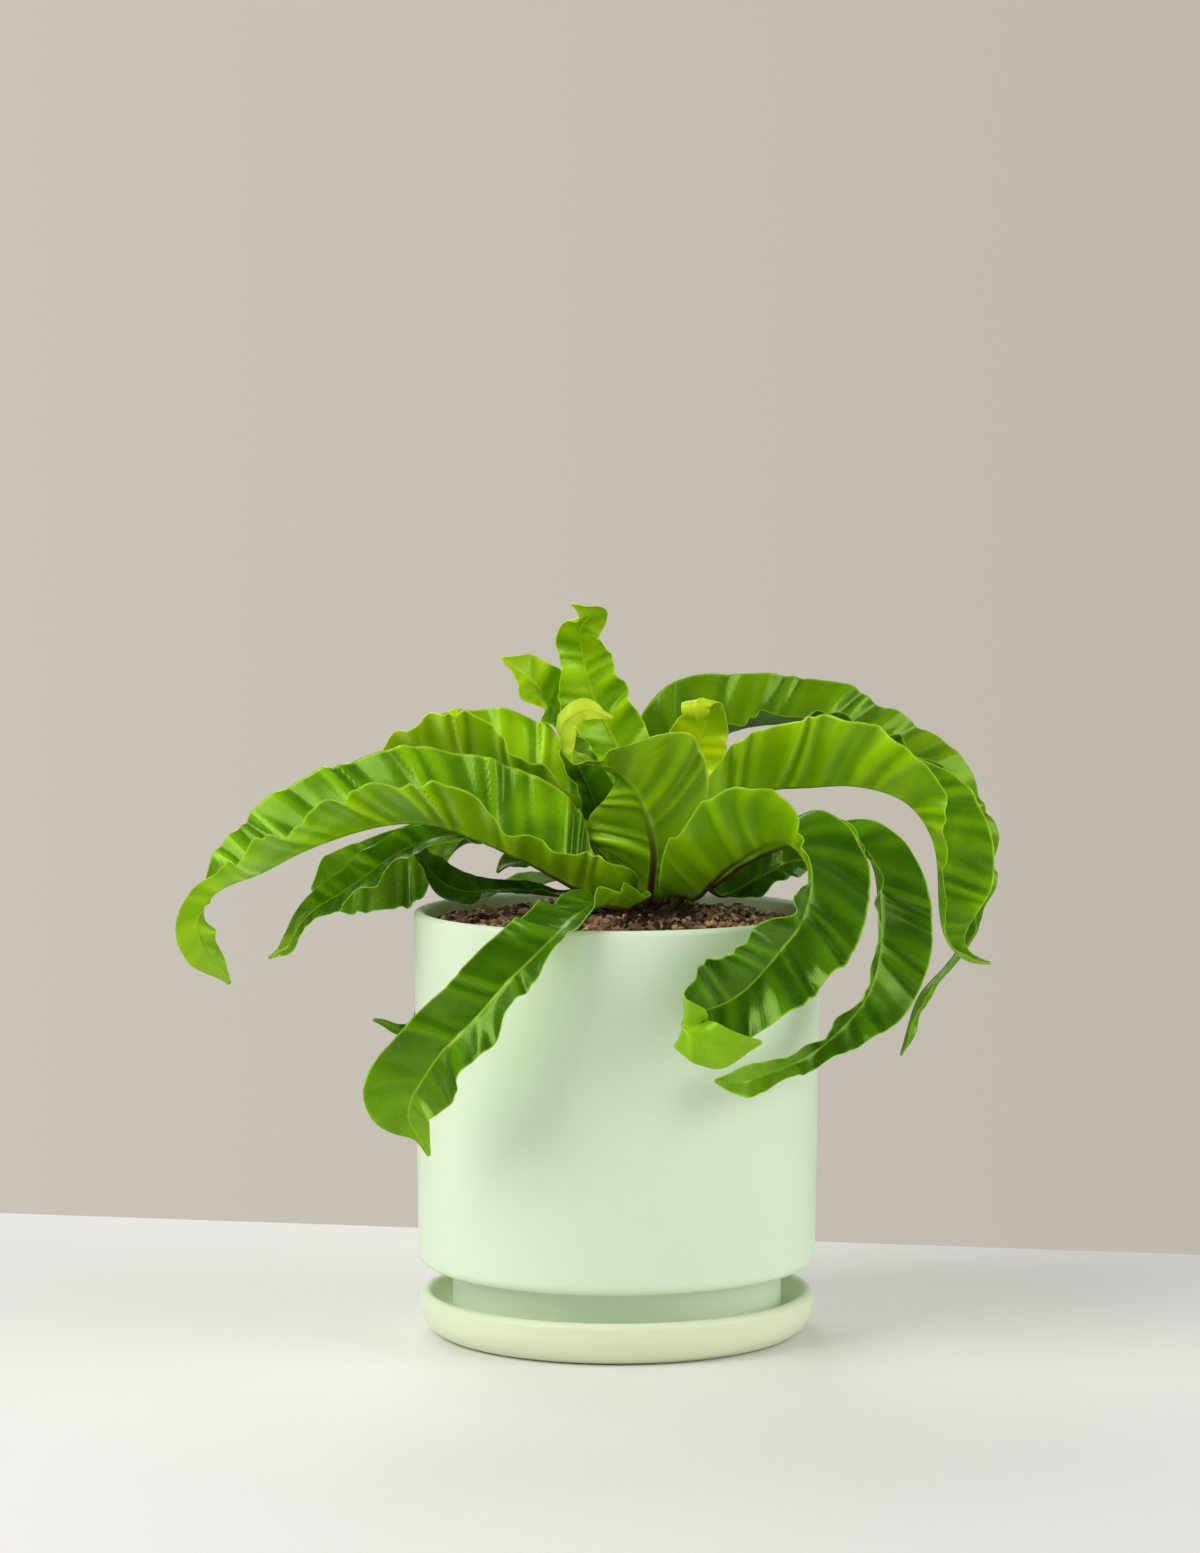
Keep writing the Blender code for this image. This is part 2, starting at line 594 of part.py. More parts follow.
def make_crown(material, collection):
    """The low rhizome that the fronds grow from, flat on top and round at its shoulder."""
    bottom = soil_height(0.0) + GAP
    top = crown_top()
    shoulder = top - bottom
    shoulder_radius = CROWN_RADIUS * GROWTH - shoulder
    profile = [(0.0, top)] + corner((shoulder_radius, bottom), shoulder, 90, 0)
    profile.append((0.0, bottom))
    obj = turned("crown", profile, False, material, collection)
    obj.location = (CROWN_PLACE[0] * GROWTH, CROWN_PLACE[1] * GROWTH, 0.0)
    return obj


def crown_top():
    return soil_height(0.0) + GAP + CROWN_HEIGHT


# ---- Fronds -----------------------------------------------------------------------------------


def spline(knots, values, at):
    """Natural cubic spline through the values at the knots, read at each parameter in at."""
    count = len(knots)
    gaps = np.diff(knots)
    system = np.eye(count)
    right = np.zeros((count, values.shape[1]))
    for i in range(1, count - 1):
        system[i, i - 1 : i + 2] = (gaps[i - 1], 2 * (gaps[i - 1] + gaps[i]), gaps[i])
        rise = (values[i + 1] - values[i]) / gaps[i] - (values[i] - values[i - 1]) / gaps[i - 1]
        right[i] = 6 * rise
    bend = np.linalg.solve(system, right)
    index = np.clip(np.searchsorted(knots, at) - 1, 0, count - 2)
    gap = gaps[index][:, None]
    before = (at - knots[index])[:, None]
    after = gap - before
    curve = bend[index] * after**3 + bend[index + 1] * before**3
    line = (values[index] - bend[index] * gap**2 / 6) * after
    line += (values[index + 1] - bend[index + 1] * gap**2 / 6) * before
    return curve / (6 * gap) + line / gap


def unit(vectors):
    return vectors / np.linalg.norm(vectors, axis=1)[:, None]


def stations(rows):
    """Evenly spaced sections along a frond: distance, place, half widths and three directions."""
    table = np.array([(x, y, z, left, right, *face) for x, y, z, left, right, face in rows], float)
    table[:, :5] *= MM
    table[:, 5:] = unit(table[:, 5:])
    steps = np.linalg.norm(np.diff(table[:, :3], axis=0), axis=1)
    knots = np.concatenate([[0.0], np.cumsum(steps)])
    fine = np.linspace(0.0, knots[-1], FINE_STEPS)
    dense = spline(knots, table, fine)
    # Straight blending of the widths can't overshoot, and it leaves the outline as chosen.
    for column in (3, 4):
        dense[:, column] = np.interp(fine, knots, table[:, column])
    moved = np.linalg.norm(np.diff(dense[:, :3], axis=0), axis=1)
    travel = np.concatenate([[0.0], np.cumsum(moved)])
    count = max(FEWEST_SECTIONS, round(travel[-1] / SECTION_SPACING)) + 1
    along = np.linspace(0.0, travel[-1], count)
    place = np.stack([np.interp(along, travel, dense[:, i]) for i in range(dense.shape[1])], axis=1)
    forward = unit(np.gradient(place[:, :3], axis=0))
    face = place[:, 5:] - (place[:, 5:] * forward).sum(axis=1)[:, None] * forward
    face = unit(face)
    side = np.cross(forward, face)
    return along, place[:, :3], place[:, 3:5], forward, side, face


def ruffle(distance, wave, draw):
    """An irregular wave along a margin, from about -1 to 1."""
    phases = [draw.uniform(0.0, math.tau) for _ in range(3)]
    turn = math.tau * distance / wave
    drift = DRIFT * np.sin(turn / DRIFT_WAVES + phases[1])
    swell = 1 - SWELL + SWELL * np.sin(turn / SWELL_WAVES + phases[2])
    return swell * np.sin(turn + drift + phases[0])


def frond_points(name, frond):
    """The blade's middle surface, as points across by sections along, and how far along each is."""
    along, place, widths, forward, side, face = stations(frond["rows"])
    draw = random.Random(name)
    length = along[-1]
    fold = np.radians(np.interp(along, [0.0, length], frond["fold"]))
    wave = frond["wave"] * MM
    columns = []
    for sign in (-1, 1):
        half = widths[:, 0] if sign < 0 else widths[:, 1]
        state = draw.getstate()
        for step in range(STRIPS_EACH_SIDE, 0, -1):
            draw.setstate(state)
            share = step / STRIPS_EACH_SIDE
            margin = ruffle(along - RUFFLE_SLANT * share * half, wave, draw)
            size = np.minimum(frond["ripple"] * MM, RUFFLE_LIMIT * half) * share**RUFFLE_GROWTH
            turn = fold + CUP_ANGLE * share
            out = half * share * (np.cos(fold) + np.cos(turn)) / 2
            up = half * share * (np.sin(fold) + np.sin(turn)) / 2
            out -= size * margin * np.sin(turn)
            up += size * margin * np.cos(turn)
            columns.append(place + sign * out[:, None] * side + up[:, None] * face)
    left = columns[:STRIPS_EACH_SIDE]
    right = columns[STRIPS_EACH_SIDE:][::-1]
    return np.array(left + [place] + right), along / length


def make_frond(name, frond, material, collection):
    points, travelled = frond_points(name, frond)
    across, count = points.shape[:2]
    middle = across // 2
    points = points * GROWTH + (0.0, 0.0, crown_top() + FROND_LIFT)
    mesh = bpy.data.meshes.new(name)
    grid = bmesh.new()
    bmesh.ops.create_grid(grid, x_segments=across - 1, y_segments=count - 1, size=1.0)
    thickness = grid.verts.layers.deform.verify()
    for vert in grid.verts:
        column = round((vert.co.x + 1) / 2 * (across - 1))
        row = round((vert.co.y + 1) / 2 * (count - 1))
        vert.co = points[column, row]
        rib = RIB_THICKNESS + (RIB_TIP_THICKNESS - RIB_THICKNESS) * travelled[row]
        wanted = rib if column == middle else BLADE_THICKNESS
        vert[thickness][0] = wanted / RIB_THICKNESS
    bmesh.ops.recalc_face_normals(grid, faces=grid.faces)
    grid.to_mesh(mesh)
    grid.free()
    mesh.materials.append(material)
    obj = bpy.data.objects.new(name, mesh)
    obj.vertex_groups.new(name="thickness")
    collection.objects.link(obj)
    solid = obj.modifiers.new("Blade", "SOLIDIFY")
    solid.thickness = RIB_THICKNESS
    solid.offset = 0.0
    solid.vertex_group = "thickness"
    solid.thickness_vertex_group = 0.0
    mesh.shade_smooth()
    return obj


def frond_age(name):
    if name in YOUNG_FRONDS:
        return "young"
    return "old" if name in OLD_FRONDS else "grown"


def build():
    clear_scene()
    collection = make_collection("potted_fern")
    make_saucer(make_material("saucer", COLORS["saucer"], ROUGHNESS["saucer"]), collection)
    make_pot(make_material("pot", COLORS["ceramic"], ROUGHNESS["ceramic"]), collection)
    make_soil(make_material("soil", COLORS["soil"], ROUGHNESS["soil"]), collection)
    make_crown(make_material("crown", COLORS["crown"], ROUGHNESS["crown"]), collection)
    for name, frond in FRONDS.items():
        material = make_material(name, COLORS[frond_age(name)], ROUGHNESS["frond"])
        make_frond(name, frond, material, collection)


build()
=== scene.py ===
"""Looks for the potted fern: a curly bird's-nest fern in a pale ceramic pot on its saucer.

Metres, +Z up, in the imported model's frame. Every visible piece here stands for one CAD node,
apart from the loose grains and scales that lie on the soil and the crown.
"""

import math
import random

import bmesh
import bpy
import numpy as np
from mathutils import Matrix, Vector


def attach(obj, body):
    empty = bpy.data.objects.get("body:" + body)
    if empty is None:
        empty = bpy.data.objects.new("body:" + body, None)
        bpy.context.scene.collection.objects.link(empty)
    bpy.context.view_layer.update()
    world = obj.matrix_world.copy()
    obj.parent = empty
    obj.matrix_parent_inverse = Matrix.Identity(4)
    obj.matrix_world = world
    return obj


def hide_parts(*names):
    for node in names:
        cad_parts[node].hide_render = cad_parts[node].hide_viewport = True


MM = 0.001
# Sizes that part.py gives or works out
SAUCER_RADIUS = 87.4 * MM
SAUCER_HEIGHT = 19.0 * MM
SAUCER_WIDEST_HEIGHT = 13.0 * MM
SAUCER_FLOOR = 9.0 * MM
SAUCER_FOOT_RADIUS = 76.0 * MM
SAUCER_FLAT_RADIUS = 72.7 * MM
POT_RADIUS = 90.0 * MM
POT_LOW_RADIUS = 88.3 * MM
POT_RIM = 188.0 * MM
POT_UNDERSIDE = 31.0 * MM
POT_WALL = 5.0 * MM
POT_FLOOR = 7.0 * MM
POT_CORNER = 5.0 * MM
FOOT_BOTTOM = 9.3 * MM
FOOT_RADIUS = 73.0 * MM
FOOT_WALL = 7.0 * MM
DRAIN_RADIUS = 9.0 * MM
SOIL_RIM = 181.0 * MM
SOIL_MOUND = 3.2 * MM
CROWN_PLACE = (14.0 * MM, 6.0 * MM)
CROWN_TOP = 187.5 * MM
FROND_LIFT = 1.2 * MM
# Roundings and the make-up of the loose and rough pieces
SAUCER_LIP = 2.9 * MM
SAUCER_HOLLOW = 5.8 * MM
FOOT_ROUND = 0.8 * MM
SOIL_REACH = 84.2 * MM
SOIL_BOTTOM = 150.0 * MM
SOIL_ROUGH = 1.0 * MM
SOIL_SUNK = 0.3 * MM
GRAIN_REACH = 83.0 * MM
GRAINS = 2600
CROWN_REACH = 23.0 * MM
CROWN_EDGE = 184.2 * MM
CROWN_MOUND = 6.2 * MM
CROWN_BOTTOM = 181.5 * MM
CROWN_ROUGH = 0.9 * MM
SCALES_REACH = 22.0 * MM
SCALES = 420
# How a blade cups, and the ruffles that grow towards its margin
CUP_ANGLE = math.radians(16)
RUFFLE_SLANT = 0.45
RUFFLE_GROWTH = 1.4
RUFFLE_LIMIT = 0.28
DRIFT = 0.9
DRIFT_WAVES = 2.7
SWELL = 0.25
SWELL_WAVES = 3.4
# Pleats: finer waves that run with the side veins, on top of the large ruffles
PLEAT_HEIGHT = 1.8 * MM
PLEAT_LIMIT = 0.065
PLEAT_WAVE = 0.36
PLEAT_SLANT = 0.4
PLEAT_GROWTH = 0.7
# The half-width under which the painted highlight and painted shade of ruffles and pleats dies away
RELIEF_FADE = 10.0 * MM
SECTION_SPACING = 1.5 * MM
FINE_STEPS = 1200
WIDTH_SOFTENING = 40
# Half the blade's thickness, the same at its margin, and how far the midrib stands out
BLADE_HALF = 0.26 * MM
MARGIN_HALF = 0.14 * MM
MARGIN_SHARE = 0.12
RIB_ABOVE = 0.45 * MM
RIB_BELOW = 1.15 * MM
RIB_THIN = 0.4 * MM
RIB_WIDE = 0.9 * MM
VEIN_SPACING = 1.35 * MM
# The camera, the table and the room
CAMERA_PLACE = (-0.0075, -1.951, 0.396)
CAMERA_DOWN = math.radians(4.37)
CAMERA_LENS = 102.6
CAMERA_SENSOR = 36.0
TABLE_SIZE = (6.0, 4.0, 0.04)
TABLE_BACK = 0.235
TABLE_TURN = math.radians(-11.0)
ROOM_LIGHT = 0.37
ROOM_REFLECTED = 0.14
WALL_SPAN = 0.16
LIT_PLACE = (0.0, 0.0, 0.18)
# Where the blade is sampled from its midrib (0) to its margin (1): close at the rib and the edge
SHARES = (0.02, 0.05, 0.09, 0.13, 0.18, 0.23, 0.29, 0.35, 0.41, 0.47, 0.53, 0.59, 0.65, 0.71, 0.77,
          0.83, 0.88, 0.93, 0.97, 1.0)

# The fronds' midribs, widths and faces, as in part.py
FRONDS = {
    "frond_front_left": {
        "fold": (25, 8), "ripple": 3.4, "wave": 30,
        "rows": [
            (10, -12, 0, 2, 2, (2, 6, 3)),
            (7, -18, 5, 4, 4, (0, 4, 8)),
            (5, -34, 4, 12, 9, (0, 2, 9)),
            (-5, -55, 7, 13, 15, (-2, 0, 9)),
            (-15, -78, 6, 11, 17, (-4, -3, 8)),
            (-24, -93, 0, 10, 18, (-4, -6, 6)),
            (-35, -103, -10, 10, 18, (-4, -8, 4)),
            (-48, -108, -22, 11, 18, (-3, -9, 3)),
            (-61, -108, -37, 15, 19, (-3, -9, 3)),
            (-73, -106, -49, 20, 19, (-3, -9, 3)),
            (-82, -103, -62, 17, 21, (-3, -9, 2)),
            (-88, -100, -74, 13, 22, (-2, -9, 1)),
            (-88, -98, -80, 10, 11, (-1, -9, 0)),
            (-85, -96, -86, 6, 2, (0, -9, 0)),
            (-80, -92, -96, 0.8, 0.8, (0, -9, 0)),
        ],
    },
    "frond_left_long": {
        "fold": (52, 20), "ripple": 3.6, "wave": 27,
        "rows": [
            (7, -5, 0, 2, 2, (6, 0, 3)),
            (3, -8, 5, 5, 4, (4, 0, 8)),
            (0, -13, 6, 17, 6, (1, -1, 9)),
            (-12, -16, 8, 26, 14, (0, -1, 9)),
            (-25, -18, 14, 22, 32, (0, -2, 9)),
            (-41, -20, 23, 16, 38, (0, -2, 9)),
            (-58, -21, 31, 20, 39, (0, -2, 9)),
            (-80, -22, 39, 35, 37, (0, -2, 9)),
            (-102, -23, 39, 39, 37, (0, -2, 9)),
            (-121, -24, 34, 38, 35, (0, -2, 9)),
            (-141, -26, 26, 36, 33, (0, -2, 9)),
            (-159, -28, 17, 25, 29, (-1, -1, 9)),
            (-172, -30, 12, 11, 20, (-3, 1, 8)),
            (-179, -33, 6, 8, 8, (-7, 6, 3)),
            (-183, -34, -6, 10, 10, (-5, 8, 0)),
            (-178, -34, -18, 9, 8, (-2, 9, 1)),
            (-169, -33, -30, 0.8, 0.8, (-2, 9, 1)),
        ],
    },
    "frond_left_low": {
        "fold": (20, 12), "ripple": 2.4, "wave": 24,
        "rows": [
            (0, -5, 0, 2, 2, (5, 2, 4)),
            (-4, -6, 5, 3, 3, (3, 0, 8)),
            (-11, -4, 9, 4, 4, (0, 0, 9)),
            (-27, -2, 19, 7, 5, (0, -2, 9)),
            (-47, -1, 28, 9, 8, (0, -3, 9)),
            (-69, -1, 32, 9, 9, (-2, -5, 8)),
            (-89, -4, 28, 10, 10, (-3, -5, 8)),
            (-105, -7, 19, 12, 11, (-4, -6, 6)),
            (-120, -8, 8, 11, 10, (-4, -6, 6)),
            (-133, -8, 0, 8, 7, (-3, -7, 5)),
            (-142, -8, -10, 4, 4, (-3, -7, 3)),
            (-146, -7, -17, 5, 4, (-2, -7, 5)),
            (-154, -6, -22, 0.8, 0.8, (-2, -6, 6)),
        ],
    },
    "frond_left_back": {
        "fold": (22, 10), "ripple": 2.6, "wave": 26,
        "rows": [
            (2, 10, 0, 2, 2, (6, 0, 3)),
            (-3, 12, 5, 3, 2, (4, 0, 8)),
            (-11, 21, 14, 5, 4, (0, 0, 9)),
            (-37, 31, 23, 8, 7, (0, -2, 9)),
            (-62, 37, 26, 11, 10, (0, -3, 9)),
            (-83, 39, 24, 20, 12, (-2, -7, 5)),
            (-100, 35, 18, 27, 13, (-3, -9, 3)),
            (-116, 32, 11, 26, 15, (-3, -9, 3)),
            (-129, 30, 6, 14, 14, (-3, -9, 3)),
            (-137, 29, 4, 2, 2, (-3, -9, 3)),
        ],
    },
    "frond_left_rim": {
        "fold": (18, 12), "ripple": 1.8, "wave": 24,
        "rows": [
            (2, 2, 0, 2, 2, (6, 0, 3)),
            (-2, 1, 4, 3, 3, (3, 0, 8)),
            (-16, 3, 5, 4, 4, (0, -1, 9)),
            (-34, 5, 6, 5, 5, (0, -2, 9)),
            (-52, 4, 7, 7, 7, (1, -4, 8)),
            (-68, 1, 7, 10, 9, (3, -6, 6)),
            (-79, 1, 12, 12, 10, (6, -6, 4)),
            (-86, 4, 21, 9, 10, (8, -5, 2)),
            (-88, 8, 29, 1, 1, (8, -5, 2)),
        ],
    },
    "frond_left_short": {
        "fold": (18, 12), "ripple": 1.8, "wave": 20,
        "rows": [
            (-4, 6, 0, 2, 2, (6, 0, 3)),
            (-7, 8, 6, 3, 3, (3, 0, 8)),
            (-13, 11, 8, 4, 3, (0, -1, 9)),
            (-27, 13, 15, 6, 7, (0, -2, 9)),
            (-40, 12, 19, 9, 9, (-2, -4, 8)),
            (-48, 9, 18, 7, 7, (-6, -5, 5)),
            (-53, 6, 15, 1, 1, (-7, -5, 3)),
        ],
    },
    "frond_upper_left": {
        "fold": (40, 45), "ripple": 3.2, "wave": 25,
        "rows": [
            (7, 5, 0, 2, 2, (7, 0, 2)),
            (2, 10, 10, 4, 4, (6, 0, 5)),
            (-9, 19, 25, 7, 7, (4, 0, 7)),
            (-25, 24, 42, 17, 13, (2, -1, 8)),
            (-43, 27, 53, 21, 31, (0, -2, 9)),
            (-61, 28, 61, 30, 30, (0, -2, 9)),
            (-77, 26, 66, 34, 22, (-1, -2, 9)),
            (-90, 23, 68, 24, 12, (-2, -2, 9)),
            (-99, 20, 68, 11, 6, (-3, -2, 8)),
            (-106, 17, 66, 0.8, 0.8, (-3, -2, 8)),
        ],
    },
    "frond_top_left": {
        "fold": (35, 15), "ripple": 2.8, "wave": 24,
        "rows": [
            (8, 10, 0, 2, 2, (5, -6, 2)),
            (7, 22, 17, 4, 4, (6, -4, 3)),
            (-4, 38, 37, 16, 8, (7, -4, 3)),
            (-14, 46, 56, 23, 12, (7, -5, 3)),
            (-23, 48, 72, 22, 15, (7, -5, 3)),
            (-29, 46, 86, 11, 14, (5, -7, 3)),
            (-35, 41, 95, 14, 13, (2, -8, 4)),
            (-44, 36, 103, 9, 9, (0, -8, 5)),
            (-52, 31, 109, 0.8, 0.8, (0, -8, 5)),
        ],
    },
    "frond_inner_left": {
        "fold": (40, 35), "ripple": 2.0, "wave": 26,
        "rows": [
            (8, 2, 0, 2, 2, (4, -6, 2)),
            (8, 6, 12, 4, 4, (4, -6, 3)),
            (0, 13, 26, 8, 8, (4, -7, 3)),
            (-8, 17, 39, 13, 11, (3, -8, 2)),
            (-13, 16, 52, 14, 13, (3, -8, 2)),
            (-18, 15, 63, 12, 11, (2, -8, 3)),
            (-21, 15, 72, 8, 7, (1, -8, 4)),
            (-24, 13, 79, 0.8, 0.8, (1, -8, 4)),
        ],
    },
    "frond_top": {
        "fold": (22, 12), "ripple": 2.8, "wave": 24,
        "rows": [
            (15, 13, 0, 2, 2, (0, -8, 2)),
            (14, 22, 19, 4, 3, (0, -8, 2)),
            (11, 34, 39, 10, 9, (0, -8, 3)),
            (5, 40, 59, 15, 15, (0, -8, 3)),
            (-4, 44, 77, 17, 16, (0, -8, 3)),
            (-10, 44, 90, 17, 16, (0, -8, 3)),
            (-14, 42, 103, 15, 14, (0, -8, 3)),
            (-16, 38, 114, 11, 11, (0, -8, 2)),
            (-16, 33, 123, 11, 10, (1, -8, 0)),
            (-12, 26, 129, 9, 8, (3, -7, -5)),
            (-14, 20, 132, 5, 5, (2, -5, -7)),
            (-20, 16, 134, 0.8, 0.8, (0, -3, -8)),
        ],
    },
    "frond_center": {
        "fold": (18, 16), "ripple": 2.0, "wave": 24,
        "rows": [
            (15, -1, 0, 2, 2, (0, 8, 0)),
            (15, -5, 10, 7, 9, (0, 8, 1)),
            (16, -9, 20, 17, 24, (0, 8, 1)),
            (15, -12, 33, 25, 35, (0, 8, 2)),
            (11, -14, 46, 35, 30, (0, 8, 2)),
            (5, -16, 57, 37, 13, (1, 8, 3)),
            (-2, -16, 63, 9, 7, (2, 6, 5)),
            (-9, -17, 65, 10, 5, (1, 1, 8)),
            (-16, -20, 66, 7, 5, (2, -3, 8)),
            (-22, -25, 69, 7, 6, (8, -2, 3)),
            (-24, -30, 76, 7, 6, (7, 5, 0)),
            (-24, -33, 83, 7, 6, (4, 8, -1)),
            (-19, -33, 88, 6, 6, (1, 8, -1)),
            (-13, -31, 90, 5, 5, (-1, 8, -2)),
            (-7, -29, 88, 3, 3, (-1, 8, -2)),
            (-2, -28, 86, 0.8, 0.8, (-1, 8, -2)),
        ],
    },
    "frond_scroll": {
        "fold": (12, 6), "ripple": 0.8, "wave": 22,
        "rows": [
            (20, 10, 0, 2, 2, (-3, -7, 2)),
            (22, 13, 17, 3, 4, (-2, -8, 2)),
            (28, 20, 36, 8, 9, (-1, -8, 2)),
            (32, 27, 53, 14, 15, (-1, -8, 2)),
            (36, 26, 67, 15, 17, (-1, -8, 2)),
            (39, 21, 79, 14, 12, (-1, -8, 1)),
            (40, 16, 88, 9, 8, (0, -8, -3)),
            (38, 8, 92, 8, 7, (0, -3, -8)),
            (35, 2, 90, 7, 6, (0, 6, -5)),
            (35, 3, 85, 6, 6, (0, 8, 3)),
            (35, 8, 83, 5, 5, (0, 2, 8)),
            (36, 12, 86, 5, 5, (0, -6, 4)),
        ],
    },
    "frond_back_right": {
        "fold": (35, 25), "ripple": 3.4, "wave": 28,
        "rows": [
            (21, 17, 0, 2, 2, (-5, -5, 3)),
            (24, 30, 15, 5, 4, (-5, -4, 4)),
            (27, 44, 35, 14, 7, (-5, -4, 4)),
            (34, 52, 56, 32, 11, (-4, -4, 6)),
            (45, 57, 71, 35, 16, (-2, -4, 8)),
            (61, 60, 77, 25, 20, (0, -4, 9)),
            (81, 60, 78, 24, 21, (0, -4, 9)),
            (102, 62, 74, 24, 21, (1, -3, 9)),
            (122, 62, 65, 23, 19, (3, -2, 8)),
            (141, 60, 54, 22, 16, (5, -2, 7)),
            (154, 58, 37, 21, 15, (8, -2, 4)),
            (161, 56, 16, 19, 13, (9, -2, 1)),
            (162, 53, -4, 10, 9, (9, -2, 0)),
            (157, 50, -22, 4, 4, (8, -2, -4)),
            (147, 48, -35, 4, 4, (7, -3, -5)),
            (138, 46, -45, 6, 6, (8, -3, -4)),
            (133, 44, -58, 6, 5, (8, -3, -3)),
            (129, 42, -72, 0.8, 0.8, (8, -3, -2)),
        ],
    },
    "frond_right_upper": {
        "fold": (40, 45), "ripple": 3.4, "wave": 26,
        "rows": [
            (21, 4, 0, 2, 2, (-7, 0, 2)),
            (28, 5, 14, 5, 5, (-6, 0, 5)),
            (34, 8, 26, 9, 9, (-5, 0, 6)),
            (43, 11, 40, 9, 15, (-4, 1, 7)),
            (56, 13, 48, 12, 25, (-2, 2, 8)),
            (70, 14, 52, 18, 32, (0, 2, 9)),
            (86, 13, 53, 24, 36, (0, 2, 9)),
            (101, 11, 54, 25, 35, (1, 2, 9)),
            (116, 8, 52, 26, 30, (3, 1, 8)),
            (128, 6, 47, 27, 25, (5, 0, 7)),
            (137, 4, 37, 27, 17, (8, -3, 4)),
            (142, 3, 23, 26, 9, (8, -5, 1)),
            (143, 2, 8, 24, 6, (8, -6, 0)),
            (144, 1, -6, 16, 5, (8, -6, 0)),
            (148, 0, -17, 7, 4, (6, -6, 3)),
            (155, -3, -23, 4, 4, (3, -5, 7)),
            (165, -8, -24, 0.8, 0.8, (0, -5, 8)),
        ],
    },
    "frond_front_right": {
        "fold": (42, 8), "ripple": 3.2, "wave": 26,
        "rows": [
            (25, -4, 0, 2, 2, (-4, 5, 3)),
            (29, -8, 5, 5, 5, (-4, 2, 6)),
            (35, -24, 7, 9, 19, (-4, 1, 7)),
            (42, -33, 15, 11, 27, (-3, 1, 8)),
            (51, -42, 24, 14, 33, (-2, 0, 9)),
            (61, -50, 31, 18, 36, (0, 0, 9)),
            (70, -57, 35, 23, 36, (3, -1, 8)),
            (78, -64, 31, 27, 29, (6, -3, 6)),
            (82, -71, 23, 28, 18, (7, -5, 3)),
            (81, -78, 13, 27, 11, (7, -7, 1)),
            (77, -86, 2, 26, 12, (5, -8, 1)),
            (69, -93, -8, 24, 16, (3, -9, 1)),
            (59, -99, -19, 22, 21, (2, -9, 1)),
            (46, -103, -29, 19, 22, (1, -9, 1)),
            (34, -107, -33, 14, 19, (0, -9, 0)),
            (27, -112, -37, 9, 13, (4, -4, -3)),
            (30, -117, -41, 9, 11, (4, 6, -4)),
            (40, -118, -44, 14, 8, (0, 9, 0)),
            (60, -118, -44, 0.8, 0.8, (0, 9, 0)),
        ],
    },
    "frond_right_droop": {
        "fold": (35, 25), "ripple": 3.0, "wave": 28,
        "rows": [
            (32, 4, 0, 2, 2, (-6, 0, 3)),
            (35, 4, 6, 4, 4, (-5, 0, 6)),
            (39, 0, 8, 7, 7, (-4, 0, 7)),
            (53, -6, 18, 9, 9, (-3, 0, 8)),
            (70, -11, 27, 11, 11, (-1, 0, 9)),
            (87, -16, 32, 12, 12, (1, 0, 9)),
            (100, -22, 32, 13, 12, (3, -1, 8)),
            (109, -28, 27, 17, 11, (6, -4, 5)),
            (113, -33, 18, 21, 10, (7, -6, 2)),
            (114, -38, 6, 23, 10, (7, -7, 0)),
            (114, -43, -7, 24, 11, (7, -7, 0)),
            (112, -48, -21, 22, 10, (7, -7, 0)),
            (106, -54, -35, 18, 8, (6, -8, 0)),
            (95, -62, -47, 10, 6, (4, -9, 0)),
            (82, -71, -56, 6, 5, (2, -9, 0)),
            (69, -81, -61, 7, 6, (1, -9, 2)),
            (55, -91, -64, 8, 7, (1, -9, 2)),
            (45, -97, -64, 5, 6, (1, -9, 2)),
            (41, -99, -63, 1, 1, (1, -9, 2)),
        ],
    },
    "frond_rear_right": {
        "fold": (35, 18), "ripple": 3.0, "wave": 28,
        "rows": [
            (19, 23, 0, 2, 2, (0, -7, 4)),
            (21, 37, 12, 5, 5, (-1, -6, 6)),
            (29, 61, 30, 10, 10, (-1, -4, 8)),
            (38, 89, 43, 15, 15, (0, 0, 9)),
            (46, 117, 42, 16, 16, (2, 4, 8)),
            (52, 139, 27, 14, 14, (2, 7, 5)),
            (55, 153, 4, 9, 9, (2, 8, 2)),
            (55, 160, -20, 1, 1, (2, 8, 1)),
        ],
    },
    "frond_rear": {
        "fold": (35, 18), "ripple": 3.0, "wave": 26,
        "rows": [
            (14, 19, 0, 2, 2, (0, -7, 4)),
            (12, 32, 18, 4, 4, (0, -6, 6)),
            (4, 57, 45, 8, 7, (0, -4, 8)),
            (1, 85, 60, 15, 15, (0, 0, 9)),
            (-6, 114, 57, 16, 16, (0, 4, 8)),
            (-12, 139, 40, 14, 14, (0, 7, 5)),
            (-15, 156, 12, 9, 9, (0, 8, 2)),
            (-15, 164, -16, 1, 1, (0, 8, 1)),
        ],
    },
    "frond_rear_left": {
        "fold": (32, 20), "ripple": 2.6, "wave": 26,
        "rows": [
            (6, 17, 0, 2, 2, (4, -5, 4)),
            (1, 32, 17, 4, 4, (3, -4, 6)),
            (-13, 57, 35, 9, 9, (2, -2, 8)),
            (-31, 86, 43, 13, 13, (0, 0, 9)),
            (-50, 108, 41, 13, 13, (-2, 2, 8)),
            (-66, 124, 33, 9, 9, (-4, 4, 7)),
            (-76, 134, 23, 1, 1, (-4, 5, 6)),
        ],
    },
    "frond_rear_left_long": {
        "fold": (30, 20), "ripple": 2.0, "wave": 24,
        "rows": [
            (-1, 16, 0, 2, 2, (6, -3, 4)),
            (-10, 28, 24, 3, 3, (4, -2, 7)),
            (-31, 47, 45, 8, 8, (1, 0, 9)),
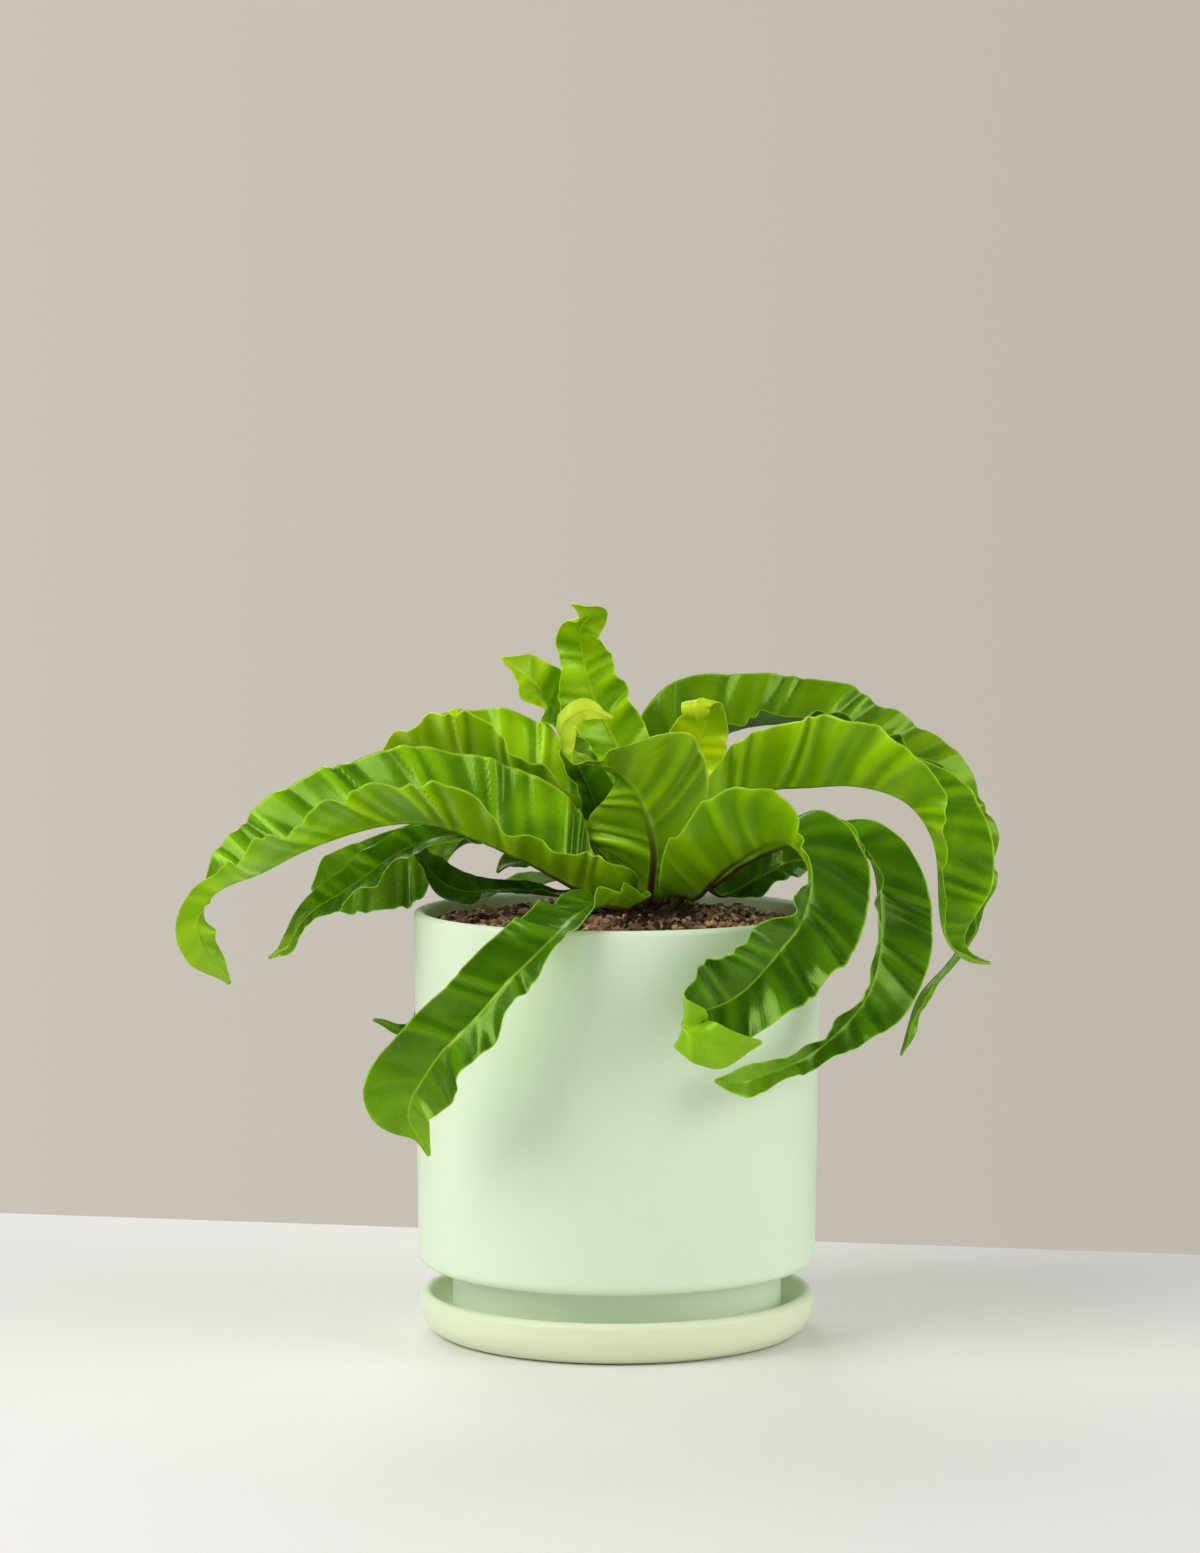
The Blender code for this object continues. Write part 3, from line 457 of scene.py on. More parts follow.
            (-68, 64, 54, 10, 10, (0, 0, 9)),
            (-104, 76, 52, 10, 10, (-1, 0, 9)),
            (-130, 83, 44, 8, 8, (-3, 1, 8)),
            (-148, 87, 33, 1, 1, (-4, 1, 8)),
        ],
    },
    "frond_rear_right_long": {
        "fold": (32, 20), "ripple": 2.6, "wave": 25,
        "rows": [
            (26, 10, 0, 2, 2, (-6, -3, 4)),
            (38, 20, 20, 6, 6, (-5, -2, 6)),
            (62, 38, 44, 10, 10, (-2, -1, 8)),
            (90, 57, 57, 12, 12, (0, 0, 9)),
            (115, 70, 57, 12, 12, (2, 1, 8)),
            (134, 79, 47, 9, 9, (4, 1, 7)),
            (146, 84, 36, 1, 1, (6, 1, 6)),
        ],
    },
    "frond_rear_low_left": {
        "fold": (20, 12), "ripple": 3.0, "wave": 28,
        "rows": [
            (8, 23, 0, 2, 2, (0, -6, 4)),
            (5, 32, 5, 4, 4, (0, -2, 8)),
            (-5, 54, 7, 6, 6, (0, 0, 9)),
            (-19, 78, 6, 8, 8, (-1, 2, 9)),
            (-40, 96, -1, 10, 10, (-4, 6, 6)),
            (-60, 102, -17, 11, 11, (-5, 7, 3)),
            (-75, 100, -34, 6, 6, (-6, 7, 1)),
            (-87, 97, -50, 4, 4, (-6, 7, 1)),
            (-101, 92, -67, 3, 3, (-4, -7, 4)),
            (-107, 91, -64, 2, 2, (-2, -8, 4)),
            (-113, 90, -62, 0.8, 0.8, (-2, -8, 4)),
        ],
    },
    "frond_right_low": {
        "fold": (22, 14), "ripple": 2.6, "wave": 27,
        "rows": [
            (28, 17, 0, 2, 2, (-4, -4, 4)),
            (38, 23, 8, 4, 4, (-3, -2, 8)),
            (46, 26, 3, 9, 9, (-2, -4, 7)),
            (58, 27, 7, 14, 13, (-1, -6, 6)),
            (69, 28, 13, 15, 13, (0, -6, 6)),
            (81, 28, 18, 14, 14, (2, -5, 6)),
            (90, 29, 15, 13, 13, (6, -2, 6)),
            (95, 28, 4, 11, 11, (8, -2, 2)),
            (97, 27, -9, 8, 8, (9, -2, 0)),
            (96, 26, -21, 1, 1, (9, -2, -1)),
        ],
    },
}


def srgb(red, green, blue):
    """Linear colour of an 8-bit screen colour."""
    parts = [value / 255 for value in (red, green, blue)]
    return tuple(p / 12.92 if p <= 0.04045 else ((p + 0.055) / 1.055) ** 2.4 for p in parts)


# ---- Node helpers -----------------------------------------------------------------------------


class Graph:
    """A short way to write a material's nodes."""

    def __init__(self, name):
        self.material = bpy.data.materials.new(name)
        self.material.use_nodes = True
        self.tree = self.material.node_tree
        self.shader = self.tree.nodes["Principled BSDF"]

    def node(self, kind, **settings):
        made = self.tree.nodes.new(kind)
        for key, value in settings.items():
            setattr(made, key, value)
        return made

    def put(self, socket, value):
        if isinstance(value, bpy.types.NodeSocket):
            self.tree.links.new(value, socket)
        elif isinstance(value, tuple) and len(value) == 3 and socket.type == "RGBA":
            socket.default_value = (*value, 1.0)
        else:
            socket.default_value = value

    def math(self, operation, first, second=0.0):
        made = self.node("ShaderNodeMath", operation=operation)
        for socket, value in zip(made.inputs, (first, second)):
            self.put(socket, value)
        return made.outputs[0]

    def attribute(self, name):
        return self.node("ShaderNodeAttribute", attribute_name=name).outputs["Fac"]

    def place(self):
        return self.node("ShaderNodeTexCoord").outputs["Object"]

    def noise(self, scale, detail=3.0, roughness=0.5):
        made = self.node("ShaderNodeTexNoise")
        self.put(made.inputs["Vector"], self.place())
        made.inputs["Scale"].default_value = scale
        made.inputs["Detail"].default_value = detail
        made.inputs["Roughness"].default_value = roughness
        return made.outputs["Fac"]

    def ramp(self, factor, low, high, to_low=0.0, to_high=1.0):
        made = self.node("ShaderNodeMapRange", interpolation_type="SMOOTHSTEP", clamp=True)
        for socket, value in zip(made.inputs, (factor, low, high, to_low, to_high)):
            self.put(socket, value)
        return made.outputs["Result"]

    def mix(self, factor, first, second):
        made = self.node("ShaderNodeMix", data_type="RGBA")
        self.put(made.inputs["Factor"], factor)
        self.put(made.inputs[6], first)
        self.put(made.inputs[7], second)
        return made.outputs[2]

    def bump(self, height, distance, strength=1.0, normal=None):
        made = self.node("ShaderNodeBump")
        self.put(made.inputs["Height"], height)
        made.inputs["Distance"].default_value = distance
        made.inputs["Strength"].default_value = strength
        if normal is not None:
            self.put(made.inputs["Normal"], normal)
        return made.outputs["Normal"]


# ---- Frond surfaces ---------------------------------------------------------------------------


def spline(knots, values, at):
    """Natural cubic spline through the values at the knots, read at each parameter in at."""
    count = len(knots)
    gaps = np.diff(knots)
    system = np.eye(count)
    right = np.zeros((count, values.shape[1]))
    for i in range(1, count - 1):
        system[i, i - 1 : i + 2] = (gaps[i - 1], 2 * (gaps[i - 1] + gaps[i]), gaps[i])
        rise = (values[i + 1] - values[i]) / gaps[i] - (values[i] - values[i - 1]) / gaps[i - 1]
        right[i] = 6 * rise
    bend = np.linalg.solve(system, right)
    index = np.clip(np.searchsorted(knots, at) - 1, 0, count - 2)
    gap = gaps[index][:, None]
    before = (at - knots[index])[:, None]
    after = gap - before
    curve = bend[index] * after**3 + bend[index + 1] * before**3
    line = (values[index] - bend[index] * gap**2 / 6) * after
    line += (values[index + 1] - bend[index + 1] * gap**2 / 6) * before
    return curve / (6 * gap) + line / gap


def unit(vectors):
    return vectors / np.linalg.norm(vectors, axis=-1)[..., None]


def stations(rows):
    """Evenly spaced sections along a frond: distance, place, half widths and three directions."""
    table = np.array([(x, y, z, left, right, *face) for x, y, z, left, right, face in rows], float)
    table[:, :5] *= MM
    table[:, 5:] = unit(table[:, 5:])
    steps = np.linalg.norm(np.diff(table[:, :3], axis=0), axis=1)
    knots = np.concatenate([[0.0], np.cumsum(steps)])
    fine = np.linspace(0.0, knots[-1], FINE_STEPS)
    dense = spline(knots, table, fine)
    for column in (3, 4):
        dense[:, column] = np.interp(fine, knots, table[:, column])
        dense[:, column] = soften(dense[:, column], WIDTH_SOFTENING)
    moved = np.linalg.norm(np.diff(dense[:, :3], axis=0), axis=1)
    travel = np.concatenate([[0.0], np.cumsum(moved)])
    count = max(30, round(travel[-1] / SECTION_SPACING)) + 1
    along = np.linspace(0.0, travel[-1], count)
    place = np.stack([np.interp(along, travel, dense[:, i]) for i in range(dense.shape[1])], axis=1)
    forward = unit(np.gradient(place[:, :3], axis=0))
    face = place[:, 5:] - (place[:, 5:] * forward).sum(axis=1)[:, None] * forward
    face = unit(face)
    side = np.cross(forward, face)
    return along, place[:, :3], place[:, 3:5], side, face


def soften(values, reach):
    """A running average that leaves both ends where they are."""
    padded = np.pad(values, reach, mode="reflect", reflect_type="odd")
    kernel = np.hanning(2 * reach + 1)
    return np.convolve(padded, kernel / kernel.sum(), mode="valid")


def ruffle(distance, wave, phases):
    """An irregular wave along a margin, from about -1 to 1, with its crests a little pinched."""
    turn = math.tau * distance / wave
    drift = DRIFT * np.sin(turn / DRIFT_WAVES + phases[1])
    swell = 1 - SWELL + SWELL * np.sin(turn / SWELL_WAVES + phases[2])
    return swell * np.sin(turn + drift + phases[0])


def pleats(distance, wave, phases):
    """Finer waves that ride on the large ones, unequal in length and height."""
    turn = math.tau * distance / wave
    drift = 1.1 * np.sin(turn / 2.3 + phases[1]) + 0.6 * np.sin(turn / 5.1 + phases[2])
    swell = 0.6 + 0.4 * np.sin(turn / 3.1 + phases[3])
    return swell * np.sin(turn + drift + phases[0])


def frond_surface(name, frond):
    """The blade's middle surface, as points across by sections along, with what its looks read."""
    along, place, widths, side, face = stations(frond["rows"])
    draw = random.Random(name)
    length = along[-1]
    fold = np.radians(np.interp(along, [0.0, length], frond["fold"]))
    wave = frond["wave"] * MM
    fine_draw = random.Random(name + " pleats")
    sides = []
    for sign in (-1, 1):
        half = widths[:, 0] if sign < 0 else widths[:, 1]
        phases = [draw.uniform(0.0, math.tau) for _ in range(3)]
        fine_phases = [fine_draw.uniform(0.0, math.tau) for _ in range(4)]
        strips = []
        for share in SHARES:
            slanted = along - RUFFLE_SLANT * share * half
            large = ruffle(slanted, wave, phases)
            size = np.minimum(frond["ripple"] * MM, RUFFLE_LIMIT * half) * share**RUFFLE_GROWTH
            small = pleats(along - PLEAT_SLANT * share * half, PLEAT_WAVE * wave, fine_phases)
            small_size = np.minimum(PLEAT_HEIGHT, PLEAT_LIMIT * half) * share**PLEAT_GROWTH
            turn = fold + CUP_ANGLE * share
            out = half * share * (np.cos(fold) + np.cos(turn)) / 2
            up = half * share * (np.sin(fold) + np.sin(turn)) / 2
            lift = size * large + small_size * small
            out = out - lift * np.sin(turn)
            up = up + lift * np.cos(turn)
            point = place + sign * out[:, None] * side + up[:, None] * face
            # relief: the ruffle and pleat height, which the leaf material turns into painted highlight on
            # crests and painted shade in valleys
            relief = 0.55 * large * share**0.5 + 0.75 * small
            relief = relief * np.minimum(1.0, half / RELIEF_FADE)
            strips.append((point, share * half, np.full_like(half, sign * share), slanted, relief))
        sides.append(strips)
    middle = (place, np.zeros_like(along), np.zeros_like(along), along, np.zeros_like(along))
    columns = sides[0][::-1] + [middle] + sides[1]
    grids = [np.array([column[k] for column in columns]) for k in range(5)]
    return grids, along


def frond_mesh(name, frond, seed):
    """A closed leaf: an upper and a lower skin, a raised midrib, and thin margins."""
    (points, reach, share, slanted, relief), along = frond_surface(seed, frond)
    across, count = reach.shape
    travelled = np.broadcast_to(along / along[-1], reach.shape)
    tangent = np.gradient(points, axis=1)
    cross = np.gradient(points, axis=0)
    normal = unit(np.cross(cross, tangent) + 1e-15)
    fade = 1 - 0.75 * travelled
    rib = np.exp(-((reach / (RIB_THIN + RIB_WIDE * fade)) ** 2))
    thin = np.clip((1 - np.abs(share)) / MARGIN_SHARE, 0, 1)
    skin = MARGIN_HALF + (BLADE_HALF - MARGIN_HALF) * thin
    upper = points + normal * (skin + RIB_ABOVE * rib * fade)[..., None]
    lower = points - normal * (skin + RIB_BELOW * rib * fade)[..., None]
    verts = np.concatenate([upper.reshape(-1, 3), lower.reshape(-1, 3)])
    verts[:, 2] += CROWN_TOP + FROND_LIFT
    faces = grid_faces(across, count, 0, True) + grid_faces(across, count, across * count, False)
    faces += wall_faces(across, count)
    mesh = bpy.data.meshes.new(name)
    mesh.from_pydata(verts.tolist(), [], faces)
    under = np.concatenate([np.zeros(across * count), np.ones(across * count)])
    looks = {"share": share, "travel": travelled, "slanted": slanted, "relief": relief, "rib": rib}
    looks = {key: np.concatenate([grid.ravel(), grid.ravel()]) for key, grid in looks.items()}
    looks["under"] = under
    for key, values in looks.items():
        layer = mesh.attributes.new(key, "FLOAT", "POINT")
        layer.data.foreach_set("value", np.ascontiguousarray(values, np.float32))
    face_outwards(mesh)
    return mesh


def face_outwards(mesh):
    body = bmesh.new()
    body.from_mesh(mesh)
    bmesh.ops.recalc_face_normals(body, faces=body.faces)
    body.to_mesh(mesh)
    body.free()
    mesh.shade_smooth()
    mesh.update()


def grid_faces(across, count, start, flipped):
    faces = []
    for i in range(across - 1):
        for j in range(count - 1):
            a = start + i * count + j
            quad = (a, a + 1, a + count + 1, a + count)
            faces.append(quad[::-1] if flipped else quad)
    return faces


def wall_faces(across, count):
    """The margins and the two ends, between the upper and the lower skin."""
    rim = [(i, 0) for i in range(across)] + [(across - 1, j) for j in range(1, count)]
    rim += [(i, count - 1) for i in range(across - 2, -1, -1)] + [(0, j) for j in range(count - 2, 0, -1)]
    below = across * count
    faces = []
    for (i, j), (k, m) in zip(rim, rim[1:] + rim[:1]):
        a, b = i * count + j, k * count + m
        faces.append((b, a, a + below, b + below))
    return faces


def blade_material(name, upper, lower, vein, keel, tip, tip_start, gloss):
    """Leaf: fine side veins, a pale midrib above and a dark keel below, and a pale thin margin. Its tone
    is painted lighter on the crests of ruffles and pleats and darker in their valleys, as painted
    highlight and painted shade.
    """
    g = Graph(name)
    share = g.math("ABSOLUTE", g.attribute("share"))
    travel = g.attribute("travel")
    under = g.attribute("under")
    rib = g.attribute("rib")
    slanted = g.attribute("slanted")
    facing = g.math("SUBTRACT", 1.0, g.math("MULTIPLY", under, 2.0))
    # Painted highlight and painted shade: the tone leans light on ruffle and pleat crests and deep in
    # their valleys
    painted_crest_light = g.ramp(g.math("MULTIPLY", g.attribute("relief"), facing), -0.35, 1.0)
    tone = g.math("ADD", g.math("MULTIPLY", painted_crest_light, 0.3), g.math("MULTIPLY", g.noise(32.0), 0.7))
    tone = g.ramp(tone, 0.15, 0.8)
    above = g.mix(tone, *upper)
    below = g.mix(tone, *lower)
    color = g.mix(under, above, below)
    color = g.mix(g.ramp(travel, tip_start, 1.0, 0.0, 0.85), color, tip)
    wobble = g.math("MULTIPLY", g.noise(150.0, 2.0), 0.0009)
    stripe = g.math("MULTIPLY", g.math("ADD", slanted, wobble), math.tau / VEIN_SPACING)
    line = g.ramp(g.math("SINE", stripe), 0.55, 1.0)
    line = g.math("MULTIPLY", line, g.ramp(g.noise(90.0, 2.0), 0.3, 0.7))
    color = g.mix(g.math("MULTIPLY", line, 0.07), color, vein)
    pale_rib = g.math("MULTIPLY", g.ramp(rib, 0.35, 0.9), g.math("SUBTRACT", 1.0, under))
    color = g.mix(g.math("MULTIPLY", pale_rib, 0.55), color, vein)
    fading = g.ramp(travel, 0.12, 0.45, 1.0, 0.0)
    dark_rib = g.math("MULTIPLY", g.math("MULTIPLY", g.ramp(rib, 0.05, 0.5), under), fading)
    color = g.mix(dark_rib, color, keel)
    margin = g.ramp(share, 0.95, 0.995)
    color = g.mix(g.math("MULTIPLY", margin, 0.6), color, vein)
    foot = g.ramp(travel, 0.015, 0.07, 0.8, 0.0)
    color = g.mix(foot, color, keel)
    g.put(g.shader.inputs["Base Color"], color)
    rough = g.ramp(g.noise(220.0, 2.0), 0.2, 0.8, gloss - 0.04, gloss + 0.06)
    rough = g.math("ADD", rough, g.math("MULTIPLY", under, 0.08))
    g.put(g.shader.inputs["Roughness"], rough)
    g.shader.inputs["Specular IOR Level"].default_value = 0.85
    g.shader.inputs["Specular Tint"].default_value = (0.62, 1.0, 0.16, 1.0)
    g.shader.inputs["Subsurface Weight"].default_value = 0.3
    g.shader.inputs["Subsurface Radius"].default_value = (0.6, 1.0, 0.05)
    g.shader.inputs["Subsurface Scale"].default_value = 0.0015
    fine = g.bump(g.noise(900.0, 2.0), 0.00003, 0.4)
    veins = g.bump(g.math("SINE", stripe), 0.000015, 0.5, fine)
    g.put(g.shader.inputs["Normal"], veins)
    return g.material


def ceramic_material(name, color, warm):
    """Smooth unglazed-looking ceramic: very faint mottling and a fine tooth."""
    g = Graph(name)
    clouds = g.noise(9.0, 4.0, 0.6)
    specks = g.ramp(g.noise(700.0, 2.0, 0.6), 0.68, 0.8)
    tint = g.mix(g.ramp(clouds, 0.3, 0.7), color, warm)
    tint = g.mix(g.math("MULTIPLY", specks, 0.1), tint, tuple(0.72 * part for part in color))
    g.put(g.shader.inputs["Base Color"], tint)
    g.put(g.shader.inputs["Roughness"], g.ramp(g.noise(60.0, 3.0), 0.25, 0.75, 0.4, 0.5))
    g.shader.inputs["Specular IOR Level"].default_value = 0.4
    tooth = g.bump(g.noise(1600.0, 3.0, 0.6), 0.00004, 0.6)
    g.put(g.shader.inputs["Normal"], g.bump(g.noise(55.0, 2.0), 0.0002, 0.35, tooth))
    return g.material


def soil_material(name, dark, light):
    """Damp bark and peat: each grain has its own brown."""
    g = Graph(name)
    grain = g.node("ShaderNodeTexVoronoi", feature="F1")
    grain.inputs["Scale"].default_value = 260.0
    g.put(grain.inputs["Vector"], g.place())
    own = g.node("ShaderNodeSeparateColor")
    g.put(own.inputs[0], grain.outputs["Color"])
    mixed = g.math("ADD", g.math("MULTIPLY", own.outputs[0], 0.65),
                   g.math("MULTIPLY", g.noise(75.0, 4.0), 0.35))
    color = g.mix(g.ramp(mixed, 0.25, 0.95), dark, light)
    pale = g.ramp(own.outputs[1], 0.86, 0.9)
    color = g.mix(g.math("MULTIPLY", pale, 0.6), color, tuple(min(1.0, 1.9 * part) for part in light))
    g.put(g.shader.inputs["Base Color"], color)
    g.put(g.shader.inputs["Roughness"], g.ramp(g.noise(300.0, 3.0), 0.2, 0.8, 0.55, 0.9))
    g.put(g.shader.inputs["Normal"], g.bump(g.noise(650.0, 4.0, 0.65), 0.0006, 0.9))
    return g.material


def stage_material(name, color):
    g = Graph(name)
    g.put(g.shader.inputs["Base Color"],
          g.mix(g.noise(3.0, 3.0), color, tuple(0.97 * part for part in color)))
    g.shader.inputs["Roughness"].default_value = 0.6
    g.put(g.shader.inputs["Normal"], g.bump(g.noise(400.0, 3.0), 0.0001, 0.3))
    return g.material


# ---- Turned pieces ----------------------------------------------------------------------------


def arc(center, radius, start, end, steps=12):
    angles = [math.radians(start + (end - start) * i / steps) for i in range(steps + 1)]
    return [(center[0] + radius * math.cos(a), center[1] + radius * math.sin(a)) for a in angles]


def turned(name, profile, closed, material, steps=256):
    """A profile of (radius, height) points turned about Z. Ends on the axis close to a point."""
    count = len(profile)
    angles = np.arange(steps) * math.tau / steps
    ring = np.stack([np.cos(angles), np.sin(angles)], axis=1)
    verts = np.zeros((count, steps, 3))
    for i, (radius, height) in enumerate(profile):
        verts[i, :, :2] = ring * radius
        verts[i, :, 2] = height
    faces = []
    for i in range(count if closed else count - 1):
        k = (i + 1) % count
        for j in range(steps):
            m = (j + 1) % steps
            faces.append((i * steps + j, i * steps + m, k * steps + m, k * steps + j))
    mesh = bpy.data.meshes.new(name)
    mesh.from_pydata(verts.reshape(-1, 3).tolist(), [], faces)
    body = bmesh.new()
    body.from_mesh(mesh)
    bmesh.ops.remove_doubles(body, verts=body.verts, dist=1e-6)
    bmesh.ops.recalc_face_normals(body, faces=body.faces)
    body.to_mesh(mesh)
    body.free()
    mesh.shade_smooth()
    mesh.set_sharp_from_angle(angle=math.radians(50))
    mesh.materials.append(material)
    return add(name, mesh)


def add(name, data):
    obj = bpy.data.objects.new(name, data)
    bpy.context.scene.collection.objects.link(obj)
    return obj


def joined(name, shapes, material):
    """One mesh from many small ones, each given as its points and its faces."""
    verts, faces, start = [], [], 0
    for points, sides in shapes:
        verts.append(points)
        faces += [tuple(start + corner for corner in side) for side in sides]
        start += len(points)
    mesh = bpy.data.meshes.new(name)
    mesh.from_pydata(np.concatenate(verts).tolist(), [], faces)
    mesh.materials.append(material)
    mesh.update()
    return add(name, mesh)


# ---- Pot, saucer, soil and crown ---------------------------------------------------------------


def pot_profile():
    """The wall with its rounded lip, the corner at its foot, the foot ring and the inside."""
    lip = POT_WALL / 2
    foot_inside = FOOT_RADIUS - FOOT_WALL
    foot_round = FOOT_BOTTOM + FOOT_ROUND
    points = arc((POT_RADIUS - lip, POT_RIM - lip), lip, 180, 0, 20)
    points += arc((POT_LOW_RADIUS - POT_CORNER, POT_UNDERSIDE + POT_CORNER), POT_CORNER, 0, -90, 14)
    points += arc((FOOT_RADIUS + FOOT_ROUND, POT_UNDERSIDE - FOOT_ROUND), FOOT_ROUND, 90, 180, 4)
    points += arc((FOOT_RADIUS - FOOT_ROUND, foot_round), FOOT_ROUND, 0, -90, 5)
    points += arc((foot_inside + FOOT_ROUND, foot_round), FOOT_ROUND, -90, -180, 5)
    points += [(foot_inside, POT_UNDERSIDE), (DRAIN_RADIUS, POT_UNDERSIDE)]
    points.append((DRAIN_RADIUS, POT_UNDERSIDE + POT_FLOOR))
    points.append((POT_LOW_RADIUS - POT_WALL, POT_UNDERSIDE + POT_FLOOR))
    return points


def saucer_profile():
    """A dish with a thick round lip and a side that rolls under to its base."""
    points = [(0.0, SAUCER_FLOOR), (SAUCER_FLAT_RADIUS, SAUCER_FLOOR)]
    points += arc((SAUCER_FLAT_RADIUS, SAUCER_FLOOR + SAUCER_HOLLOW), SAUCER_HOLLOW, -90, -32, 6)
    points += arc((SAUCER_RADIUS - SAUCER_LIP, SAUCER_HEIGHT - SAUCER_LIP), SAUCER_LIP, 180, 0, 18)
    side = SAUCER_RADIUS - SAUCER_FOOT_RADIUS
    for step in range(1, 19):
        angle = math.radians(90.0 * step / 18)
        radius = SAUCER_FOOT_RADIUS + side * math.cos(angle)
        points.append((radius, SAUCER_WIDEST_HEIGHT * (1 - math.sin(angle))))
    points.append((0.0, 0.0))
    return points


def soil_top(radius):
    share = radius / (POT_RADIUS - POT_WALL)
    return SOIL_RIM + SOIL_MOUND * (1 - share * share)


def bumpiness(x, y, seed):
    """A smooth irregular height field from a few waves, about -1 to 1."""
    draw = random.Random(seed)
    total = 0.0
    for scale in (9.0, 9.0, 5.5, 5.5, 3.2, 3.2):
        angle, phase = draw.uniform(0, math.tau), draw.uniform(0, math.tau)
        along = (x * math.cos(angle) + y * math.sin(angle)) / (scale * MM)
        total = total + np.sin(along * 2.2 + phase) / 6 * (scale / 5.5) ** 0.5
    return total


def mound(name, center, reach, rings, steps, height, bottom, taper, material):
    """A closed round mound. Its top follows height(x, y, radius) and its bottom is flat."""
    verts = [(*center, height(0.0, 0.0, 0.0))]
    for i in range(1, rings + 1):
        radius = reach * i / rings
        for j in range(steps):
            angle = math.tau * j / steps
            x, y = radius * math.cos(angle), radius * math.sin(angle)
            verts.append((center[0] + x, center[1] + y, height(x, y, radius)))
    edge = 1 + (rings - 1) * steps
    start = len(verts)
    verts += [(taper * x, taper * y, bottom) for x, y, _ in verts[edge:start]]
    verts.append((*center, bottom))
    faces = []
    for j in range(steps):
        m = (j + 1) % steps
        faces.append((0, 1 + j, 1 + m))
        for i in range(rings - 1):
            a = 1 + i * steps
            faces.append((a + j, a + steps + j, a + steps + m, a + m))
        faces.append((edge + j, start + j, start + m, edge + m))
        faces.append((start + j, len(verts) - 1, start + m))
    mesh = bpy.data.meshes.new(name)
    mesh.from_pydata(verts, [], faces)
    mesh.materials.append(material)
    face_outwards(mesh)
    return add(name, mesh)


def soil_surface(x, y, radius):
    """The soil's rough top. Its middle point, under the crown, is the only smooth one."""
    if radius == 0.0:
        return soil_top(radius)
    return soil_top(radius) + bumpiness(x, y, "soil") * SOIL_ROUGH - SOIL_SUNK


def make_soil(material):
    return mound("potting_mix", (0.0, 0.0), SOIL_REACH, 60, 240, soil_surface, SOIL_BOTTOM, 0.999,
                 material)


def pebble():
    """A round start for a grain, as points and faces."""
    body = bmesh.new()
    bmesh.ops.create_icosphere(body, subdivisions=1, radius=1.0)
    points = np.array([v.co[:] for v in body.verts])
    sides = [tuple(v.index for v in face.verts) for face in body.faces]
    body.free()
    return points, sides


def turn_matrix(draw):
    """A random rotation."""
    basis = np.array([[draw.gauss(0, 1) for _ in range(3)] for _ in range(3)])
    q, _ = np.linalg.qr(basis)
    return q * np.sign(np.linalg.det(q))


def make_grains(material, count):
    """Bark chips and crumbs that lie half sunk in the soil, inside the wall."""
    points, sides = pebble()
    draw = random.Random("grains")
    shapes = []
    for _ in range(count):
        size = (0.9 + 2.3 * draw.random() ** 2.2) * MM
        radius = (GRAIN_REACH - size) * draw.random() ** 0.5
        angle = draw.uniform(0, math.tau)
        stretch = np.array([1.0, draw.uniform(0.6, 1.0), draw.uniform(0.35, 0.8)])
        lumps = np.array([draw.uniform(0.78, 1.2) for _ in points])[:, None]
        shape = (points * lumps * stretch) @ turn_matrix(draw) * size
        x, y = radius * math.cos(angle), radius * math.sin(angle)
        z = soil_top(radius) + bumpiness(x, y, "soil") * SOIL_ROUGH + 0.25 * size
        shapes.append((shape + (x, y, z), sides))
    return joined("mix_grains", shapes, material)


def crown_height(radius):
    return CROWN_EDGE + CROWN_MOUND * np.clip(1 - (radius / CROWN_REACH) ** 2, 0, 1) ** 0.6


def crown_surface(x, y, radius):
    rough = bumpiness(x, y, "crown") * CROWN_ROUGH * (1 - radius / CROWN_REACH)
    return crown_height(radius) + rough


def make_crown(material):
    """The rhizome's rough top."""
    return mound("rhizome", CROWN_PLACE, CROWN_REACH, 24, 96, crown_surface, CROWN_BOTTOM, 1.0,
                 material)


def make_scales(material, count):
    """Papery brown scales that stand round the fronds' feet, each a bent tapering blade."""
    draw = random.Random("scales")
    shapes = []
    for _ in range(count):
        radius = SCALES_REACH * draw.random() ** 0.5
        angle = draw.uniform(0, math.tau)
        foot = np.array([CROWN_PLACE[0] + radius * math.cos(angle),
                         CROWN_PLACE[1] + radius * math.sin(angle),
                         crown_height(radius) - 0.6 * MM])
        away = np.array([math.cos(angle), math.sin(angle), draw.uniform(0.5, 1.6)])
        away = away / np.linalg.norm(away)
        across = np.cross(away, (0, 0, 1)) + np.array([draw.uniform(-0.3, 0.3)] * 3)
        across = across / np.linalg.norm(across)
        length, width = draw.uniform(3.0, 6.5) * MM, draw.uniform(0.35, 0.7) * MM
        top = np.cross(across, away) * 0.12 * MM
        points = []
        for share, half in ((0.0, 1.0), (0.35, 0.9), (0.7, 0.5), (1.0, 0.05)):
            bend = np.array([0, 0, -0.25 * length * share * share])
            spine = foot + away * length * share + bend
            side = across * width * half
            points += [spine - side, spine + top * half, spine + side, spine - top * half]
        sides = [(0, 3, 2, 1), (12, 13, 14, 15)]
        for i in range(3):
            for j in range(4):
                a, b = 4 * i + j, 4 * i + (j + 1) % 4
                sides.append((a, b, b + 4, a + 4))
        shapes.append((np.array(points), sides))
    return joined("crown_scales", shapes, material)


# ---- Colours ----------------------------------------------------------------------------------

